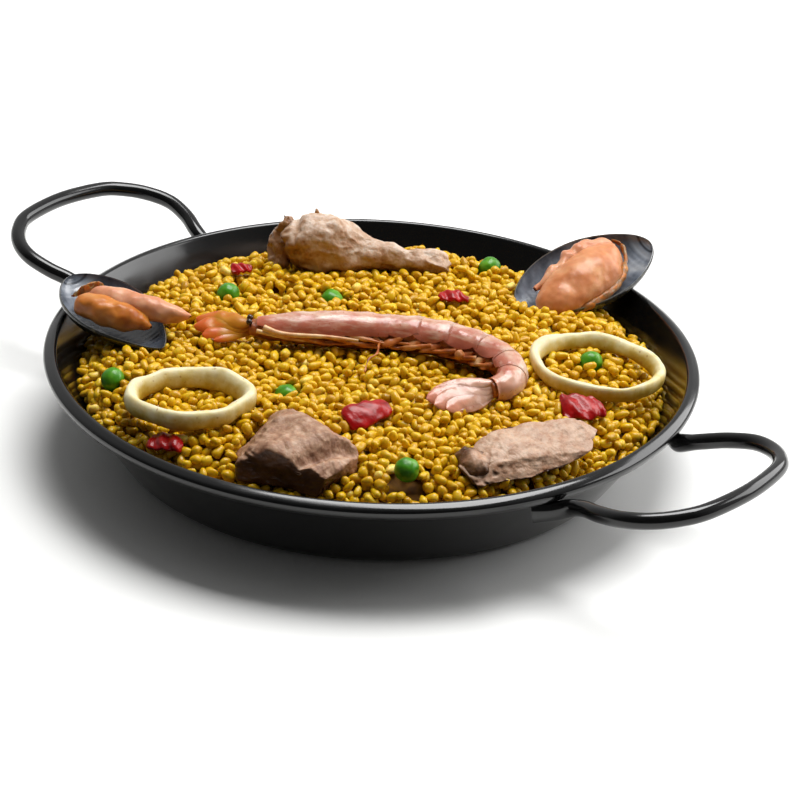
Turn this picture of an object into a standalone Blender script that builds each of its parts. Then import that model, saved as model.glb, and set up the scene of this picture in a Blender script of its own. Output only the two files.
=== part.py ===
"""Paella in its own two-handled enamelled steel pan.

Saffron rice is heaped in the pan and topped with a prawn, two mussels on the half shell, squid
rings, a chicken drumette, a piece of chicken, a piece of pork, peas and strips of red pepper.

Metres, +Z up. The origin is on the table under the middle of the pan, and +X runs through the
right handle.
"""

import math

import bmesh
import bpy
from mathutils import Matrix, Vector, noise

MM = 0.001
GAP = 0.3 * MM                      # left between pieces that touch
BED_GAP = 0.5 * MM                  # round whatever is sunk in the rice
SHARP_ANGLE = math.radians(40)      # steeper edges stay sharp in the shading

# Pan: a spun steel dish whose edge is rolled outwards into a round bead.
RIM_RADIUS = 120 * MM
PAN_HEIGHT = 37.3 * MM
SHEET = 1.5 * MM
BEAD_RADIUS = 2.7 * MM
WALL_LEAN = math.radians(34)        # of the wall, from upright
CORNER_RADIUS = 9 * MM              # where the base turns up into the wall
PAN_SEGMENTS = 48
CORNER_STEPS = 4
BEAD_STEPS = 9

# Handles: one bent rod each, both ends laid along the wall under the bead.
ROD_RADIUS = 2.9 * MM
ROD_END_HEIGHT = 27 * MM
ROD_END_ANGLE = math.radians(20.5)  # round the pan from the handle's middle
HANDLE_HALF_PATH = [                # outwards, sideways, height
    (113.2, 35.4, 28.4),
    (119.0, 33.4, 31.2),
    (125.0, 34.4, 33.6),
    (133.0, 37.4, 36.0),
    (143.0, 38.6, 38.6),
    (152.0, 35.5, 40.4),
    (159.4, 29.0, 42.0),
    (164.4, 19.5, 43.2),
]
HANDLE_TIP = (166.8, 0.0, 43.8)

# Rice: a low heap, level in the middle and falling off steeply near the wall.
RICE_TOP = 39.5 * MM
RICE_DROP = 12.5 * MM               # from the middle to the edge of the heap
RICE_RADIUS = 107 * MM
RICE_FALL = 10                      # power of the fall towards the edge
RICE_LUMP = 1.1 * MM
RICE_LUMP_SPACING = (9 * MM, 11 * MM, 17 * MM)   # over 2 pi: along x, along y, slantwise
RICE_RINGS = 9
RICE_SEGMENTS = 36

PEA_RADIUS = 4.75 * MM
PEAS = {                            # x, y, height of the middle
    "pea_left": (-50.5, -83.3, 35.6),
    "pea_back_left": (-66.0, -8.1, 40.4),
    "pea_back": (-38.0, 19.6, 38.6),
    "pea_centre": (3.4, -50.0, 38.4),
    "pea_front": (70.2, -62.5, 38.1),
    "pea_far": (-15.5, 87.1, 38.6),
    "pea_in_ring": (63.6, 48.6, 39.3),
}

# Each strip of pepper: x, y, height; length, width, thickness; turn, tilt along, tilt across.
PEPPERS = {
    "pepper_centre": ((37.8, -45.5, 41.0), (17.5, 10.0, 4.2), (76, 4, 24)),
    "pepper_right": ((86.5, 14.5, 40.0), (15.0, 10.0, 3.6), (52, -6, 20)),
    "pepper_left": ((-5.5, -102.0, 33.5), (13.0, 7.5, 3.4), (8, 8, 18)),
    "pepper_back": ((-3.6, 50.4, 40.4), (11.0, 5.5, 3.0), (30, 0, 12)),
    "pepper_far": ((-77.0, 10.6, 40.0), (7.5, 5.0, 3.0), (48, 0, 10)),
}
PEPPER_TAPER = 0.35                 # narrower at the ends, as a share
PEPPER_ROUNDING = 0.12              # shorter at the sides
PEPPER_THINNING = 0.25              # thinner at the edges
PEPPER_SAG = 0.10                   # of the ends, as a share of the width

# Squid rings: middle; outer length and width; wall; height; turn and tilt down its length.
SQUID_RINGS = {
    "squid_ring_left": ((-13.6, -81.6, 40.6), (43.5, 38.5), 5.4, 7.6, (51, 0)),
    "squid_ring_right": ((70.0, 43.5, 40.2), (48.0, 45.5), 5.0, 5.8, (25, 3)),
}
RING_SQUARENESS = 4                 # power of the section's outline: 2 is round

# Mussels: middle of the lip; length, width, depth; turn, rise, roll; how blunt the outline is.
SHELL_WALL = 1.1 * MM
MUSSELS = {
    "mussel_right": ((22.0, 98.2, 44.3), (62.0, 34.5, 9.6), (72, 14, 14), 1.0),
    "mussel_left": ((-80.0, -53.0, 42.0), (57.0, 30.5, 8.0), (172, 8, -3), 1.3),
}
OUTLINE_POWER = 0.55
MEAT_DEPTH = 14 * MM                # more than the meat reaches below the shell's lip
MEAT_LIFT = 0.9 * MM                # straight up from the cup, so that its sides clear it too

# The meat in each shell: stations along the shell from the beak to the round end, as a share
# of the shell's length, then sideways, height above the lip, half width, half height.
MUSSEL_MEAT = {
    "mussel_right_meat": ("mussel_right", [
        (0.08, -6.0, -1.0, 0.0, 0.0),
        (0.13, -6.2, -0.8, 6.0, 4.6),
        (0.25, -6.0, -0.6, 9.4, 7.4),
        (0.40, -4.6, -0.8, 11.4, 8.6),
        (0.54, -2.4, -1.2, 11.4, 8.8),
        (0.67, 0.2, -1.4, 9.6, 8.0),
        (0.76, 2.2, -1.6, 6.4, 6.0),
        (0.81, 3.2, -1.6, 0.0, 0.0),
    ]),
    "mussel_left_meat": ("mussel_left", [
        (0.70, 8.5, 0.8, 0.0, 0.0),
        (0.65, 7.5, 1.0, 5.4, 4.2),
        (0.54, 5.0, 1.5, 8.0, 5.8),
        (0.42, 1.5, 2.2, 9.2, 6.2),
        (0.32, -2.5, 3.0, 8.8, 6.0),
        (0.23, -7.5, 3.8, 7.4, 5.2),
        (0.16, -12.5, 4.2, 5.0, 3.8),
        (0.12, -15.2, 4.8, 2.4, 1.8),
        (0.105, -16.6, 4.8, 0.0, 0.0),
    ]),
}

# Lofted pieces: x, y, height of the middle, half width, half height of each station.
PRAWN = [
    (-51.6, -41.0, 41.8, 0.0, 0.0),
    (-49.8, -39.8, 42.0, 1.6, 1.2),
    (-44.5, -36.4, 43.0, 4.2, 3.4),
    (-36.0, -31.0, 43.4, 5.6, 5.0),
    (-28.5, -25.6, 43.6, 6.4, 6.2),
    (-18.0, -16.4, 43.8, 7.0, 7.2),
    (-6.0, -6.0, 43.8, 7.2, 7.4),
    (3.0, 1.6, 43.6, 6.8, 7.0),
    (12.0, 7.6, 43.6, 7.4, 7.4),
    (21.5, 12.4, 43.6, 7.4, 7.4),
    (31.0, 15.2, 43.4, 7.2, 7.2),
    (40.5, 15.6, 43.2, 6.9, 7.0),
    (49.0, 12.6, 43.0, 6.4, 6.6),
    (55.0, 6.6, 42.8, 5.8, 6.2),
    (57.8, -1.5, 42.6, 5.2, 5.4),
    (57.4, -8.5, 42.4, 5.6, 3.4),
    (54.6, -17.0, 42.2, 6.6, 2.6),
    (51.4, -24.0, 42.0, 4.6, 1.8),
    (49.4, -28.2, 41.8, 0.0, 0.0),
]
DRUMETTE = [
    (-79.5, 28.6, 43.0, 0.0, 0.0),
    (-77.4, 30.2, 43.2, 8.4, 8.0),
    (-72.4, 34.0, 44.8, 12.0, 11.8),
    (-66.0, 39.0, 45.4, 12.8, 12.4),
    (-59.0, 44.4, 44.8, 11.2, 11.0),
    (-52.6, 49.2, 43.2, 8.0, 8.4),
    (-46.0, 54.0, 41.8, 5.8, 6.0),
    (-38.0, 59.8, 41.0, 4.6, 4.6),
    (-31.0, 65.0, 40.6, 4.2, 4.2),
    (-26.6, 68.2, 40.6, 5.2, 4.8),
    (-24.0, 70.2, 40.6, 4.2, 3.8),
    (-23.0, 71.0, 40.6, 0.0, 0.0),
]

# Rough-cut pieces: their corners, and how uneven the faces are.
PORK = [
    (12.0, -67.0, 40.0), (24.0, -70.0, 46.5), (35.0, -73.5, 48.5), (46.0, -75.0, 47.5),
    (52.5, -67.0, 41.0), (55.5, -76.0, 39.5), (56.5, -87.5, 38.0), (48.0, -91.0, 42.5),
    (36.5, -94.5, 44.5), (27.0, -94.0, 42.5), (24.5, -99.0, 36.0), (25.5, -99.0, 30.0),
    (52.0, -87.5, 30.0), (53.0, -70.0, 31.0), (14.0, -68.0, 32.0), (15.0, -86.0, 32.0),
]
CHICKEN = [
    (77.0, -35.0, 41.0), (79.5, -24.5, 43.5), (90.0, -10.0, 45.0), (94.5, -1.5, 45.0),
    (102.5, 0.5, 42.0), (107.5, -8.0, 39.5), (107.0, -12.0, 37.5), (104.0, -20.0, 35.5),
    (99.5, -32.0, 34.5), (91.5, -37.0, 40.0), (80.5, -47.0, 37.0), (89.5, -47.5, 33.0),
    (78.5, -41.0, 33.0),
    (80.0, -26.0, 33.0), (94.0, -6.0, 34.0), (99.0, -8.0, 33.0),
]
CUT_UNEVENNESS = 0.6 * MM
CUT_GRAIN = 9 * MM                  # how far apart the unevenness repeats


def srgb(hex_code):
    """Linear colour of an sRGB hex code."""
    channels = [int(hex_code[i:i + 2], 16) / 255 for i in (1, 3, 5)]
    return [c / 12.92 if c <= 0.04045 else ((c + 0.055) / 1.055) ** 2.4 for c in channels]


def make_material(name, hex_code, roughness):
    material = bpy.data.materials.new(name)
    material.use_nodes = True
    shader = material.node_tree.nodes["Principled BSDF"]
    shader.inputs["Base Color"].default_value = (*srgb(hex_code), 1)
    shader.inputs["Roughness"].default_value = roughness
    shader.inputs["Metallic"].default_value = 0
    return material


def place(name, data, collection, material):
    """Put a mesh or a curve in the scene as a named piece."""
    piece = bpy.data.objects.new(name, data)
    data.materials.append(material)
    collection.objects.link(piece)
    return piece


def mesh_from(bm, name):
    mesh = bpy.data.meshes.new(name)
    bm.to_mesh(mesh)
    bm.free()
    mesh.shade_smooth()
    mesh.set_sharp_from_angle(angle=SHARP_ANGLE)
    return mesh


def arc(centre, radius, start, end, steps):
    """Points of an arc in the radius and height plane, both ends included; angles in radians."""
    angles = [start + (end - start) * i / steps for i in range(steps + 1)]
    return [(centre[0] + radius * math.cos(a), centre[1] + radius * math.sin(a)) for a in angles]


# ---- pan ----

def bead_centre():
    return (RIM_RADIUS - BEAD_RADIUS, PAN_HEIGHT - BEAD_RADIUS)


def wall_radius(height, depth=0.0):
    """Radius of the wall's inner face at a height, or of a surface depth outside that face."""
    centre_radius, centre_height = bead_centre()
    touch_radius = centre_radius - BEAD_RADIUS * math.cos(WALL_LEAN)
    touch_height = centre_height + BEAD_RADIUS * math.sin(WALL_LEAN)
    along = touch_radius - (touch_height - height) * math.tan(WALL_LEAN)
    return along + depth / math.cos(WALL_LEAN)


def pan_profile():
    """Closed from the axis to the axis: inside from the middle outwards, then the outside."""
    bend = math.pi / 2 - WALL_LEAN
    tangent = CORNER_RADIUS * math.tan(bend / 2)
    corner = (wall_radius(0, SHEET) - tangent, CORNER_RADIUS)
    flat = -math.pi / 2
    inside = arc(corner, CORNER_RADIUS - SHEET, flat, -WALL_LEAN, CORNER_STEPS)
    outside = arc(corner, CORNER_RADIUS, -WALL_LEAN, flat, CORNER_STEPS)
    bead_start = math.pi - WALL_LEAN
    bead_sweep = 2 * math.pi - math.acos((BEAD_RADIUS - SHEET) / BEAD_RADIUS)
    bead = arc(bead_centre(), BEAD_RADIUS, bead_start, bead_start - bead_sweep, BEAD_STEPS)
    return [(0, SHEET)] + inside + bead + outside + [(0, 0)]


def make_pan(collection, material):
    mesh = bpy.data.meshes.new("pan")
    points = [(radius, 0, height) for radius, height in pan_profile()]
    mesh.from_pydata(points, [(i, i + 1) for i in range(len(points) - 1)], [])
    pan = place("pan", mesh, collection, material)
    turn = pan.modifiers.new("turn", "SCREW")
    turn.steps = PAN_SEGMENTS
    turn.render_steps = PAN_SEGMENTS
    turn.use_merge_vertices = True
    turn.merge_threshold = 0.01 * MM
    turn.use_smooth_shade = True
    return pan


# ---- handles ----

def make_handle(name, facing, collection, material):
    """A bent rod, its ends along the wall; facing turns it round the pan, in radians."""
    end_radius = wall_radius(ROD_END_HEIGHT, SHEET + ROD_RADIUS + GAP)
    end = (
        end_radius * math.cos(ROD_END_ANGLE),
        end_radius * math.sin(ROD_END_ANGLE),
        ROD_END_HEIGHT,
    )
    half = [end] + [tuple(c * MM for c in point) for point in HANDLE_HALF_PATH]
    tip = tuple(c * MM for c in HANDLE_TIP)
    path = half + [tip] + [(x, -y, z) for x, y, z in reversed(half)]

    curve = bpy.data.curves.new(name, "CURVE")
    curve.dimensions = "3D"
    curve.bevel_depth = ROD_RADIUS
    curve.bevel_resolution = 2
    curve.use_fill_caps = True
    curve.resolution_u = 2
    spline = curve.splines.new("BEZIER")
    spline.bezier_points.add(len(path) - 1)
    for point, position in zip(spline.bezier_points, path):
        point.co = position
        point.handle_left_type = "AUTO"
        point.handle_right_type = "AUTO"
    handle = place(name, curve, collection, material)
    handle.rotation_euler = (0, 0, facing)
    return handle


# ---- shapes shared by the food ----

def stretched_along(stations, sides):
    """A closed tube through elliptical stations: (middle, half width, half height) each."""
    bm = bmesh.new()
    rows = len(stations) - 1
    bmesh.ops.create_uvsphere(bm, u_segments=sides, v_segments=rows, radius=1)
    for vert in bm.verts:
        row = round(math.acos(max(-1, min(1, vert.co.z))) / math.pi * rows)
        angle = math.atan2(vert.co.y, vert.co.x)
        middle, half_width, half_height = stations[row]
        before = stations[max(row - 1, 0)][0]
        after = stations[min(row + 1, rows)][0]
        forwards = (after - before).normalized()
        sideways = Vector((0, 0, 1)).cross(forwards).normalized()
        upwards = forwards.cross(sideways)
        if half_width == 0:
            vert.co = middle
        else:
            across = sideways * math.sin(angle) * half_width
            vert.co = middle + across + upwards * math.cos(angle) * half_height
    return bm


def lofted_mesh(name, table, sides):
    stations = [
        (Vector(row[:3]) * MM, row[3] * MM, row[4] * MM)
        for row in table
    ]
    return mesh_from(stretched_along(stations, sides), name)


def keep_only_hull(bm):
    """Replace everything in the mesh by the convex hull of its points."""
    bmesh.ops.delete(bm, geom=bm.edges, context="EDGES_FACES")
    hull = bmesh.ops.convex_hull(bm, input=bm.verts)
    inner = set(hull["geom_interior"]) | set(hull["geom_unused"])
    loose = [part for part in inner if isinstance(part, bmesh.types.BMVert)]
    bmesh.ops.delete(bm, geom=loose, context="VERTS")
    bmesh.ops.recalc_face_normals(bm, faces=bm.faces)


def rough_cut(name, corners):
    """A chunk cut by hand: the hull of its corners, softened, with uneven faces."""
    bm = bmesh.new()
    for corner in corners:
        bm.verts.new(Vector(corner) * MM)
    keep_only_hull(bm)
    bmesh.ops.subdivide_edges(bm, edges=bm.edges, cuts=1, use_grid_fill=True)
    bmesh.ops.triangulate(bm, faces=bm.faces)
    bmesh.ops.recalc_face_normals(bm, faces=bm.faces)
    bm.normal_update()
    for vert in bm.verts:
        lift = noise.noise(vert.co / CUT_GRAIN)
        vert.co += vert.normal * lift * CUT_UNEVENNESS
    return mesh_from(bm, name)


def make_pea(name, position, collection, material):
    bm = bmesh.new()
    bmesh.ops.create_icosphere(bm, subdivisions=2, radius=PEA_RADIUS)
    pea = place(name, mesh_from(bm, name), collection, material)
    pea.location = Vector(position) * MM
    return pea


def make_pepper(name, size, position, turns, collection, material):
    """A strip of roasted pepper: a thin slab with soft edges that sags at both ends."""
    length, width, thickness = (value * MM for value in size)
    bm = bmesh.new()
    bmesh.ops.create_cube(bm, size=1)
    bmesh.ops.scale(bm, vec=(length, width, thickness), verts=bm.verts)
    bmesh.ops.subdivide_edges(bm, edges=bm.edges, cuts=1, use_grid_fill=True)
    for vert in bm.verts:
        along = vert.co.x / (length / 2)
        across = vert.co.y / (width / 2)
        vert.co.y *= 1 - PEPPER_TAPER * along ** 2
        vert.co.x *= 1 - PEPPER_ROUNDING * across ** 2
        vert.co.z *= 1 - PEPPER_THINNING * max(abs(along), abs(across)) ** 2
        vert.co.z -= PEPPER_SAG * width * along ** 2
    pepper = place(name, mesh_from(bm, name), collection, material)
    turn, pitch, roll = (math.radians(angle) for angle in turns)
    pepper.rotation_euler = (roll, -pitch, turn)
    pepper.location = Vector(position) * MM
    return pepper


def make_squid_ring(name, middle, outer, wall, height, turns, collection, material):
    """An oval band of squid with a rounded, slightly flattened section."""
    unit_wall = 0.25
    bpy.ops.mesh.primitive_torus_add(
        major_segments=24, minor_segments=6, major_radius=1, minor_radius=unit_wall,
        location=(0, 0, 0),
    )
    ring = bpy.context.object
    ring.name = name
    mesh = ring.data
    mesh.name = name
    half_length, half_width = (value * MM / 2 for value in outer)
    for vert in mesh.vertices:
        angle = math.atan2(vert.co.y, vert.co.x)
        section = (math.hypot(vert.co.x, vert.co.y) - 1) / unit_wall
        level = vert.co.z / unit_wall
        square = abs(section) ** RING_SQUARENESS + abs(level) ** RING_SQUARENESS
        square **= 1 / RING_SQUARENESS
        section, level = section / square, level / square
        inwards = wall * MM / 2
        along = (half_length - inwards + section * inwards) * math.cos(angle)
        across = (half_width - inwards + section * inwards) * math.sin(angle)
        vert.co = (along, across, level * height * MM / 2)
    for other in list(ring.users_collection):
        other.objects.unlink(ring)
    collection.objects.link(ring)
    mesh.materials.append(material)
    mesh.shade_smooth()
    turn, pitch = (math.radians(angle) for angle in turns)
    ring.rotation_euler = (0, pitch, turn)
    ring.location = Vector(middle) * MM
    return ring


# ---- mussels ----

def shell_half_width(share, width, bluntness):
    """Half the shell's width at a share of its length, from the beak to the round end."""
    return width / 2 * math.sin(math.pi * share ** bluntness) ** OUTLINE_POWER


def make_shell(name, size, bluntness, collection, material):
    """One valve: a cupped sheet with a pointed beak and a round end, thickened outwards."""
    length, width, depth = (value * MM for value in size)
    bm = bmesh.new()
    bmesh.ops.create_uvsphere(bm, u_segments=16, v_segments=10, radius=1)
    bmesh.ops.rotate(bm, matrix=Matrix.Rotation(math.pi / 2, 3, "Y"), verts=bm.verts)
    bmesh.ops.bisect_plane(
        bm, geom=bm.verts[:] + bm.edges[:] + bm.faces[:],
        plane_co=(0, 0, 0), plane_no=(0, 0, 1), clear_outer=True, dist=1e-6,
    )
    for vert in bm.verts:
        share = min(max(vert.co.x / 2 + 0.5, 0), 1)
        round_section = math.hypot(vert.co.y, vert.co.z)
        half_width = shell_half_width(share, width, bluntness)
        hollow = half_width / (width / 2)
        sideways = vert.co.y / round_section if round_section > 1e-6 else 0
        downwards = vert.co.z / round_section if round_section > 1e-6 else 0
        vert.co = ((share - 0.5) * length, sideways * half_width, downwards * depth * hollow)
    bmesh.ops.recalc_face_normals(bm, faces=bm.faces)
    if sum(face.normal.z for face in bm.faces) > 0:
        bmesh.ops.reverse_faces(bm, faces=bm.faces)
    shell = place(name, mesh_from(bm, name), collection, material)
    wall = shell.modifiers.new("wall", "SOLIDIFY")
    wall.thickness = SHELL_WALL
    wall.offset = 1
    return shell


def make_mussel_meat(name, size, table, collection, material):
    """The meat, in its shell's own directions, before the shell is pressed into it."""
    length = size[0] * MM
    stations = [
        (Vector(((share - 0.5) * length, side * MM, rise * MM)), width * MM, height * MM)
        for share, side, rise, width, height in table
    ]
    return place(name, mesh_from(stretched_along(stations, 12), name), collection, material)


def make_cup_bed(shell, cutters):
    """All that lies under the shell's inner face, raised by the gap, to cut the meat with."""
    bed = shell.copy()
    bed.name = shell.name + "_bed"
    bed.modifiers["wall"].thickness = MEAT_DEPTH
    bed.location += shell.matrix_world.to_3x3() @ Vector((0, 0, MEAT_LIFT))
    cutters.objects.link(bed)
    bed.hide_render = True
    bed.display_type = "WIRE"
    return bed


def pose(piece, position, turns):
    turn, rise, roll = (math.radians(angle) for angle in turns)
    piece.rotation_euler = (roll, -rise, turn)
    piece.location = Vector(position) * MM


# ---- rice ----

def rice_height(x, y):
    """Height of the heap: level, then falling off, with low lumps all over."""
    radius = min(math.hypot(x, y) / RICE_RADIUS, 1)
    along_x, along_y, slantwise = RICE_LUMP_SPACING
    lumps = math.sin(x / along_x) * math.cos(y / along_y)
    lumps += 0.6 * math.sin((x + 2 * y) / slantwise + 1)
    return RICE_TOP - RICE_DROP * radius ** RICE_FALL + RICE_LUMP * lumps * (1 - radius ** 8)


def make_rice(collection, material):
    """The heap, from the pan's base up: its top is shaped, its side lies along the wall."""
    floor = SHEET + 2 * GAP
    bend = math.pi / 2 - WALL_LEAN
    tangent = CORNER_RADIUS * math.tan(bend / 2)
    corner = (wall_radius(0, SHEET) - tangent, CORNER_RADIUS)
    inset = CORNER_RADIUS - SHEET - 2 * GAP
    top_edge = rice_height(RICE_RADIUS, 0)
    side = arc(corner, inset, -math.pi / 2, -WALL_LEAN, 3)
    edge = [(wall_radius(top_edge) - 2 * GAP, top_edge)]
    rings = [
        RICE_RADIUS * math.sin(math.pi / 2 * i / RICE_RINGS) for i in range(RICE_RINGS - 1, 0, -1)
    ]
    outline = [(0, floor)] + side + edge + [(r, RICE_TOP) for r in rings] + [(0, RICE_TOP)]

    bm = bmesh.new()
    verts = [bm.verts.new((radius, 0, height)) for radius, height in outline]
    edges = [bm.edges.new(pair) for pair in zip(verts, verts[1:])]
    bmesh.ops.spin(
        bm, geom=verts + edges, cent=(0, 0, 0), axis=(0, 0, 1),
        angle=2 * math.pi, steps=RICE_SEGMENTS, use_merge=True,
    )
    bmesh.ops.remove_doubles(bm, verts=bm.verts, dist=0.01 * MM)
    for vert in bm.verts:
        if vert.co.z > top_edge + GAP:
            vert.co.z = rice_height(vert.co.x, vert.co.y)
    bmesh.ops.recalc_face_normals(bm, faces=bm.faces)
    return place("rice", mesh_from(bm, "rice"), collection, material)


def make_hollow(piece, cutters):
    """A slightly larger copy of a finished piece, to press its bed into the rice.

    A shell's copy is filled up to its lip, so that no rice is left in the cup."""
    depsgraph = bpy.context.evaluated_depsgraph_get()
    bm = bmesh.new()
    bm.from_mesh(piece.evaluated_get(depsgraph).to_mesh())
    bmesh.ops.transform(bm, matrix=piece.matrix_world, verts=bm.verts)
    if piece.name in MUSSELS:
        keep_only_hull(bm)
    bm.normal_update()
    growth = {
        vert: vert.normal * BED_GAP * min(vert.calc_shell_factor(), 2) for vert in bm.verts
    }
    for vert, step in growth.items():
        vert.co += step
    mesh = bpy.data.meshes.new(piece.name + "_hollow")
    bm.to_mesh(mesh)
    bm.free()
    hollow = bpy.data.objects.new(piece.name + "_hollow", mesh)
    cutters.objects.link(hollow)
    hollow.hide_render = True
    hollow.display_type = "WIRE"
    return hollow


def cut(piece, tool):
    clearance = piece.modifiers.new("bed of " + tool.name, "BOOLEAN")
    clearance.operation = "DIFFERENCE"
    clearance.solver = "EXACT"
    clearance.object = tool


def main():
    for leftover in list(bpy.data.objects):
        bpy.data.objects.remove(leftover, do_unlink=True)
    parts = bpy.data.collections.new("paella")
    cutters = bpy.data.collections.new("cutters")
    for collection in (parts, cutters):
        bpy.context.scene.collection.children.link(collection)

    enamel = make_material("black_enamel", "#141414", 0.2)
    grain = make_material("saffron_rice", "#D2A614", 0.45)
    shell_colour = make_material("mussel_shell", "#4A525E", 0.35)
    meat_colour = make_material("mussel_meat", "#D98A4E", 0.4)
    prawn_colour = make_material("cooked_prawn", "#DDA79A", 0.35)
    squid_colour = make_material("cooked_squid", "#E3DDAE", 0.4)
    chicken_colour = make_material("cooked_chicken", "#C4A48C", 0.5)
    pork_colour = make_material("braised_pork", "#8E7568", 0.5)
    pea_colour = make_material("green_pea", "#4F9A22", 0.35)
    pepper_colour = make_material("red_pepper", "#B41416", 0.25)

    make_pan(parts, enamel)
    make_handle("handle_right", 0, parts, enamel)
    make_handle("handle_left", math.pi, parts, enamel)

    toppings = []
    for name, (position, size, turns, bluntness) in MUSSELS.items():
        shell = make_shell(name, size, bluntness, parts, shell_colour)
        pose(shell, position, turns)
        toppings.append(shell)
    for name, (owner, table) in MUSSEL_MEAT.items():
        position, size, turns, _ = MUSSELS[owner]
        meat = make_mussel_meat(name, size, table, parts, meat_colour)
        pose(meat, position, turns)
        bpy.context.view_layer.update()
        cut(meat, make_cup_bed(bpy.data.objects[owner], cutters))
        toppings.append(meat)

    for name, table, material in (
        ("prawn", PRAWN, prawn_colour),
        ("chicken_drumette", DRUMETTE, chicken_colour),
    ):
        toppings.append(place(name, lofted_mesh(name, table, 10), parts, material))
    for name, corners, material in (
        ("pork_piece", PORK, pork_colour),
        ("chicken_piece", CHICKEN, chicken_colour),
    ):
        toppings.append(place(name, rough_cut(name, corners), parts, material))
    for name, (middle, outer, wall, height, turns) in SQUID_RINGS.items():
        toppings.append(make_squid_ring(name, middle, outer, wall, height, turns,
                                        parts, squid_colour))
    for name, position in PEAS.items():
        toppings.append(make_pea(name, position, parts, pea_colour))
    for name, (position, size, turns) in PEPPERS.items():
        toppings.append(make_pepper(name, size, position, turns, parts, pepper_colour))

    bpy.context.view_layer.update()
    rice = make_rice(parts, grain)
    for topping in toppings:
        cut(rice, make_hollow(topping, cutters))


main()
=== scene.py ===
"""Looks of a paella in its pan.

Grains of saffron rice are dropped one by one into the enamelled pan, and the prawn, mussels,
meat, squid, peas and peppers are modelled where the frame has their solids. Metres, +Z up.
"""

import math

import bmesh
import bpy
import numpy as np
from mathutils import Matrix, Vector, noise
from mathutils.bvhtree import BVHTree


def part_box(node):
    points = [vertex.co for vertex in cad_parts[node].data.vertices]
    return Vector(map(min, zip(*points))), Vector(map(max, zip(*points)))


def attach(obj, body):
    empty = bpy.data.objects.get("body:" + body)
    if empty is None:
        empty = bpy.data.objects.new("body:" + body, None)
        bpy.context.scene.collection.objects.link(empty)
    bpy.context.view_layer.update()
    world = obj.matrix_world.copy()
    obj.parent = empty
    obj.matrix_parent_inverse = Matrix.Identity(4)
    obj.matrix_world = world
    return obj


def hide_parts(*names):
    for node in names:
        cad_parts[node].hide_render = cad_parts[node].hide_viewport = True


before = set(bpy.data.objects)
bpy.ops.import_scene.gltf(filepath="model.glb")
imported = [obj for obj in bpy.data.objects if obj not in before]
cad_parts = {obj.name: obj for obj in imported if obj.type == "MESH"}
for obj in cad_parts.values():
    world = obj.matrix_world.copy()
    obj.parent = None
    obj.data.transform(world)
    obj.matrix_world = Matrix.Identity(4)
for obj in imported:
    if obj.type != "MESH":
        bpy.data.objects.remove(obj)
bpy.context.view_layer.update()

MM = 0.001
UP = Vector((0, 0, 1))

# Pan and handles, as the frame has them.
RIM_RADIUS = 120 * MM
PAN_HEIGHT = 37.3 * MM
SHEET = 1.5 * MM
BEAD_RADIUS = 2.7 * MM
RIM_FLAT_FACING = math.radians(64)   # above level, outwards: where the flat shoulder faces
RIM_SQUARE = 3.2                     # how square the roll is there
WALL_LEAN = math.radians(34)
CORNER_RADIUS = 9 * MM
PAN_TURNS = 240

ROD_RADIUS = 2.9 * MM
ROD_END_HEIGHT = 27 * MM
ROD_END_ANGLE = math.radians(20.5)
ROD_FLAT = 24 * MM                   # length of the pressed end along the wall
ROD_PRESS = 0.34                     # of its thickness pressed away at the very end
WELD_RADIUS = 2.0 * MM
HANDLE_HALF_PATH = [                 # outwards, sideways, height in mm
    (113.2, 35.4, 28.4),
    (119.0, 33.4, 31.2),
    (125.0, 34.4, 33.6),
    (133.0, 37.4, 36.0),
    (143.0, 38.6, 38.6),
    (152.0, 35.5, 40.4),
    (159.4, 29.0, 42.0),
    (164.4, 19.5, 43.2),
]
HANDLE_TIP = (166.8, 0.0, 43.8)

# Rice.
GRAIN_KINDS = {                      # half length, half width, half thickness in mm; share
    "rice_plump": ((2.60, 1.85, 1.80), 0.35),
    "rice_slim": ((2.85, 1.62, 1.55), 0.33),
    "rice_short": ((2.15, 1.80, 1.70), 0.32),
}
GRAIN_SHAPES = 7                     # differently dented shapes of each kind
GRAIN_SPREAD = 0.09                  # of the sizes, as a share
GRAIN_TILT = math.radians(30)
GRAIN_SINK = 0.55 * MM               # soft grains press into each other
GRAIN_COUNT = 7000                   # at most
GRAIN_MODELS = 420                   # turned and scaled grains to pick from
GRAIN_ROOM = 1.3 * MM                # least depth worth filling
GRAIN_OVERSHOOT = 0.7 * MM           # of grains that lie proud of the outline
SPOTS_A_ROUND = 60
TRIES_A_SPOT = 7
MISSES_ALLOWED = 4000
GRAIN_ROUNDNESS = 2.7                # power of the outline: 2 is an ellipse, more is blunter
GRAIN_TAPER = 0.13                   # one end is slimmer than the other
GRAIN_LUMPS = 0.16
GRAIN_DENTS = 3                      # where its neighbours press in, on each shape
GRAIN_DENT_REACH = 0.72              # from the middle, in half lengths
GRAIN_DENT_DEPTH = 0.75              # of what stands beyond that reach
GRAIN_BEND = 0.12
UNDER_TOPPINGS = 0.3 * MM            # how far grains may press into what lies on them
PEA_BARE = 2 * MM                    # of a pea's top, above the rice drawn up round it
PEA_HEAP = 7 * MM                    # half width of that rice
HEAP_EDGE = 28 * MM                  # where the rice meets the wall, as a height
LUMP_SIZE = 13 * MM                  # of the clumps that the grains hold together in
LUMP_HEIGHT = 1.5 * MM
CORE_DEPTH = 6.6 * MM                # of the core's top below the heap's outline
CORE_EDGE = 24 * MM                  # height of the core's edge, at the wall
CORE_TOP = 36 * MM
CORE_GAP = 0.6 * MM                  # between the core and the pan
MAP_STEP = 0.5 * MM
MAP_REACH = 118 * MM


# ---- colours and nodes ----

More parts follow.
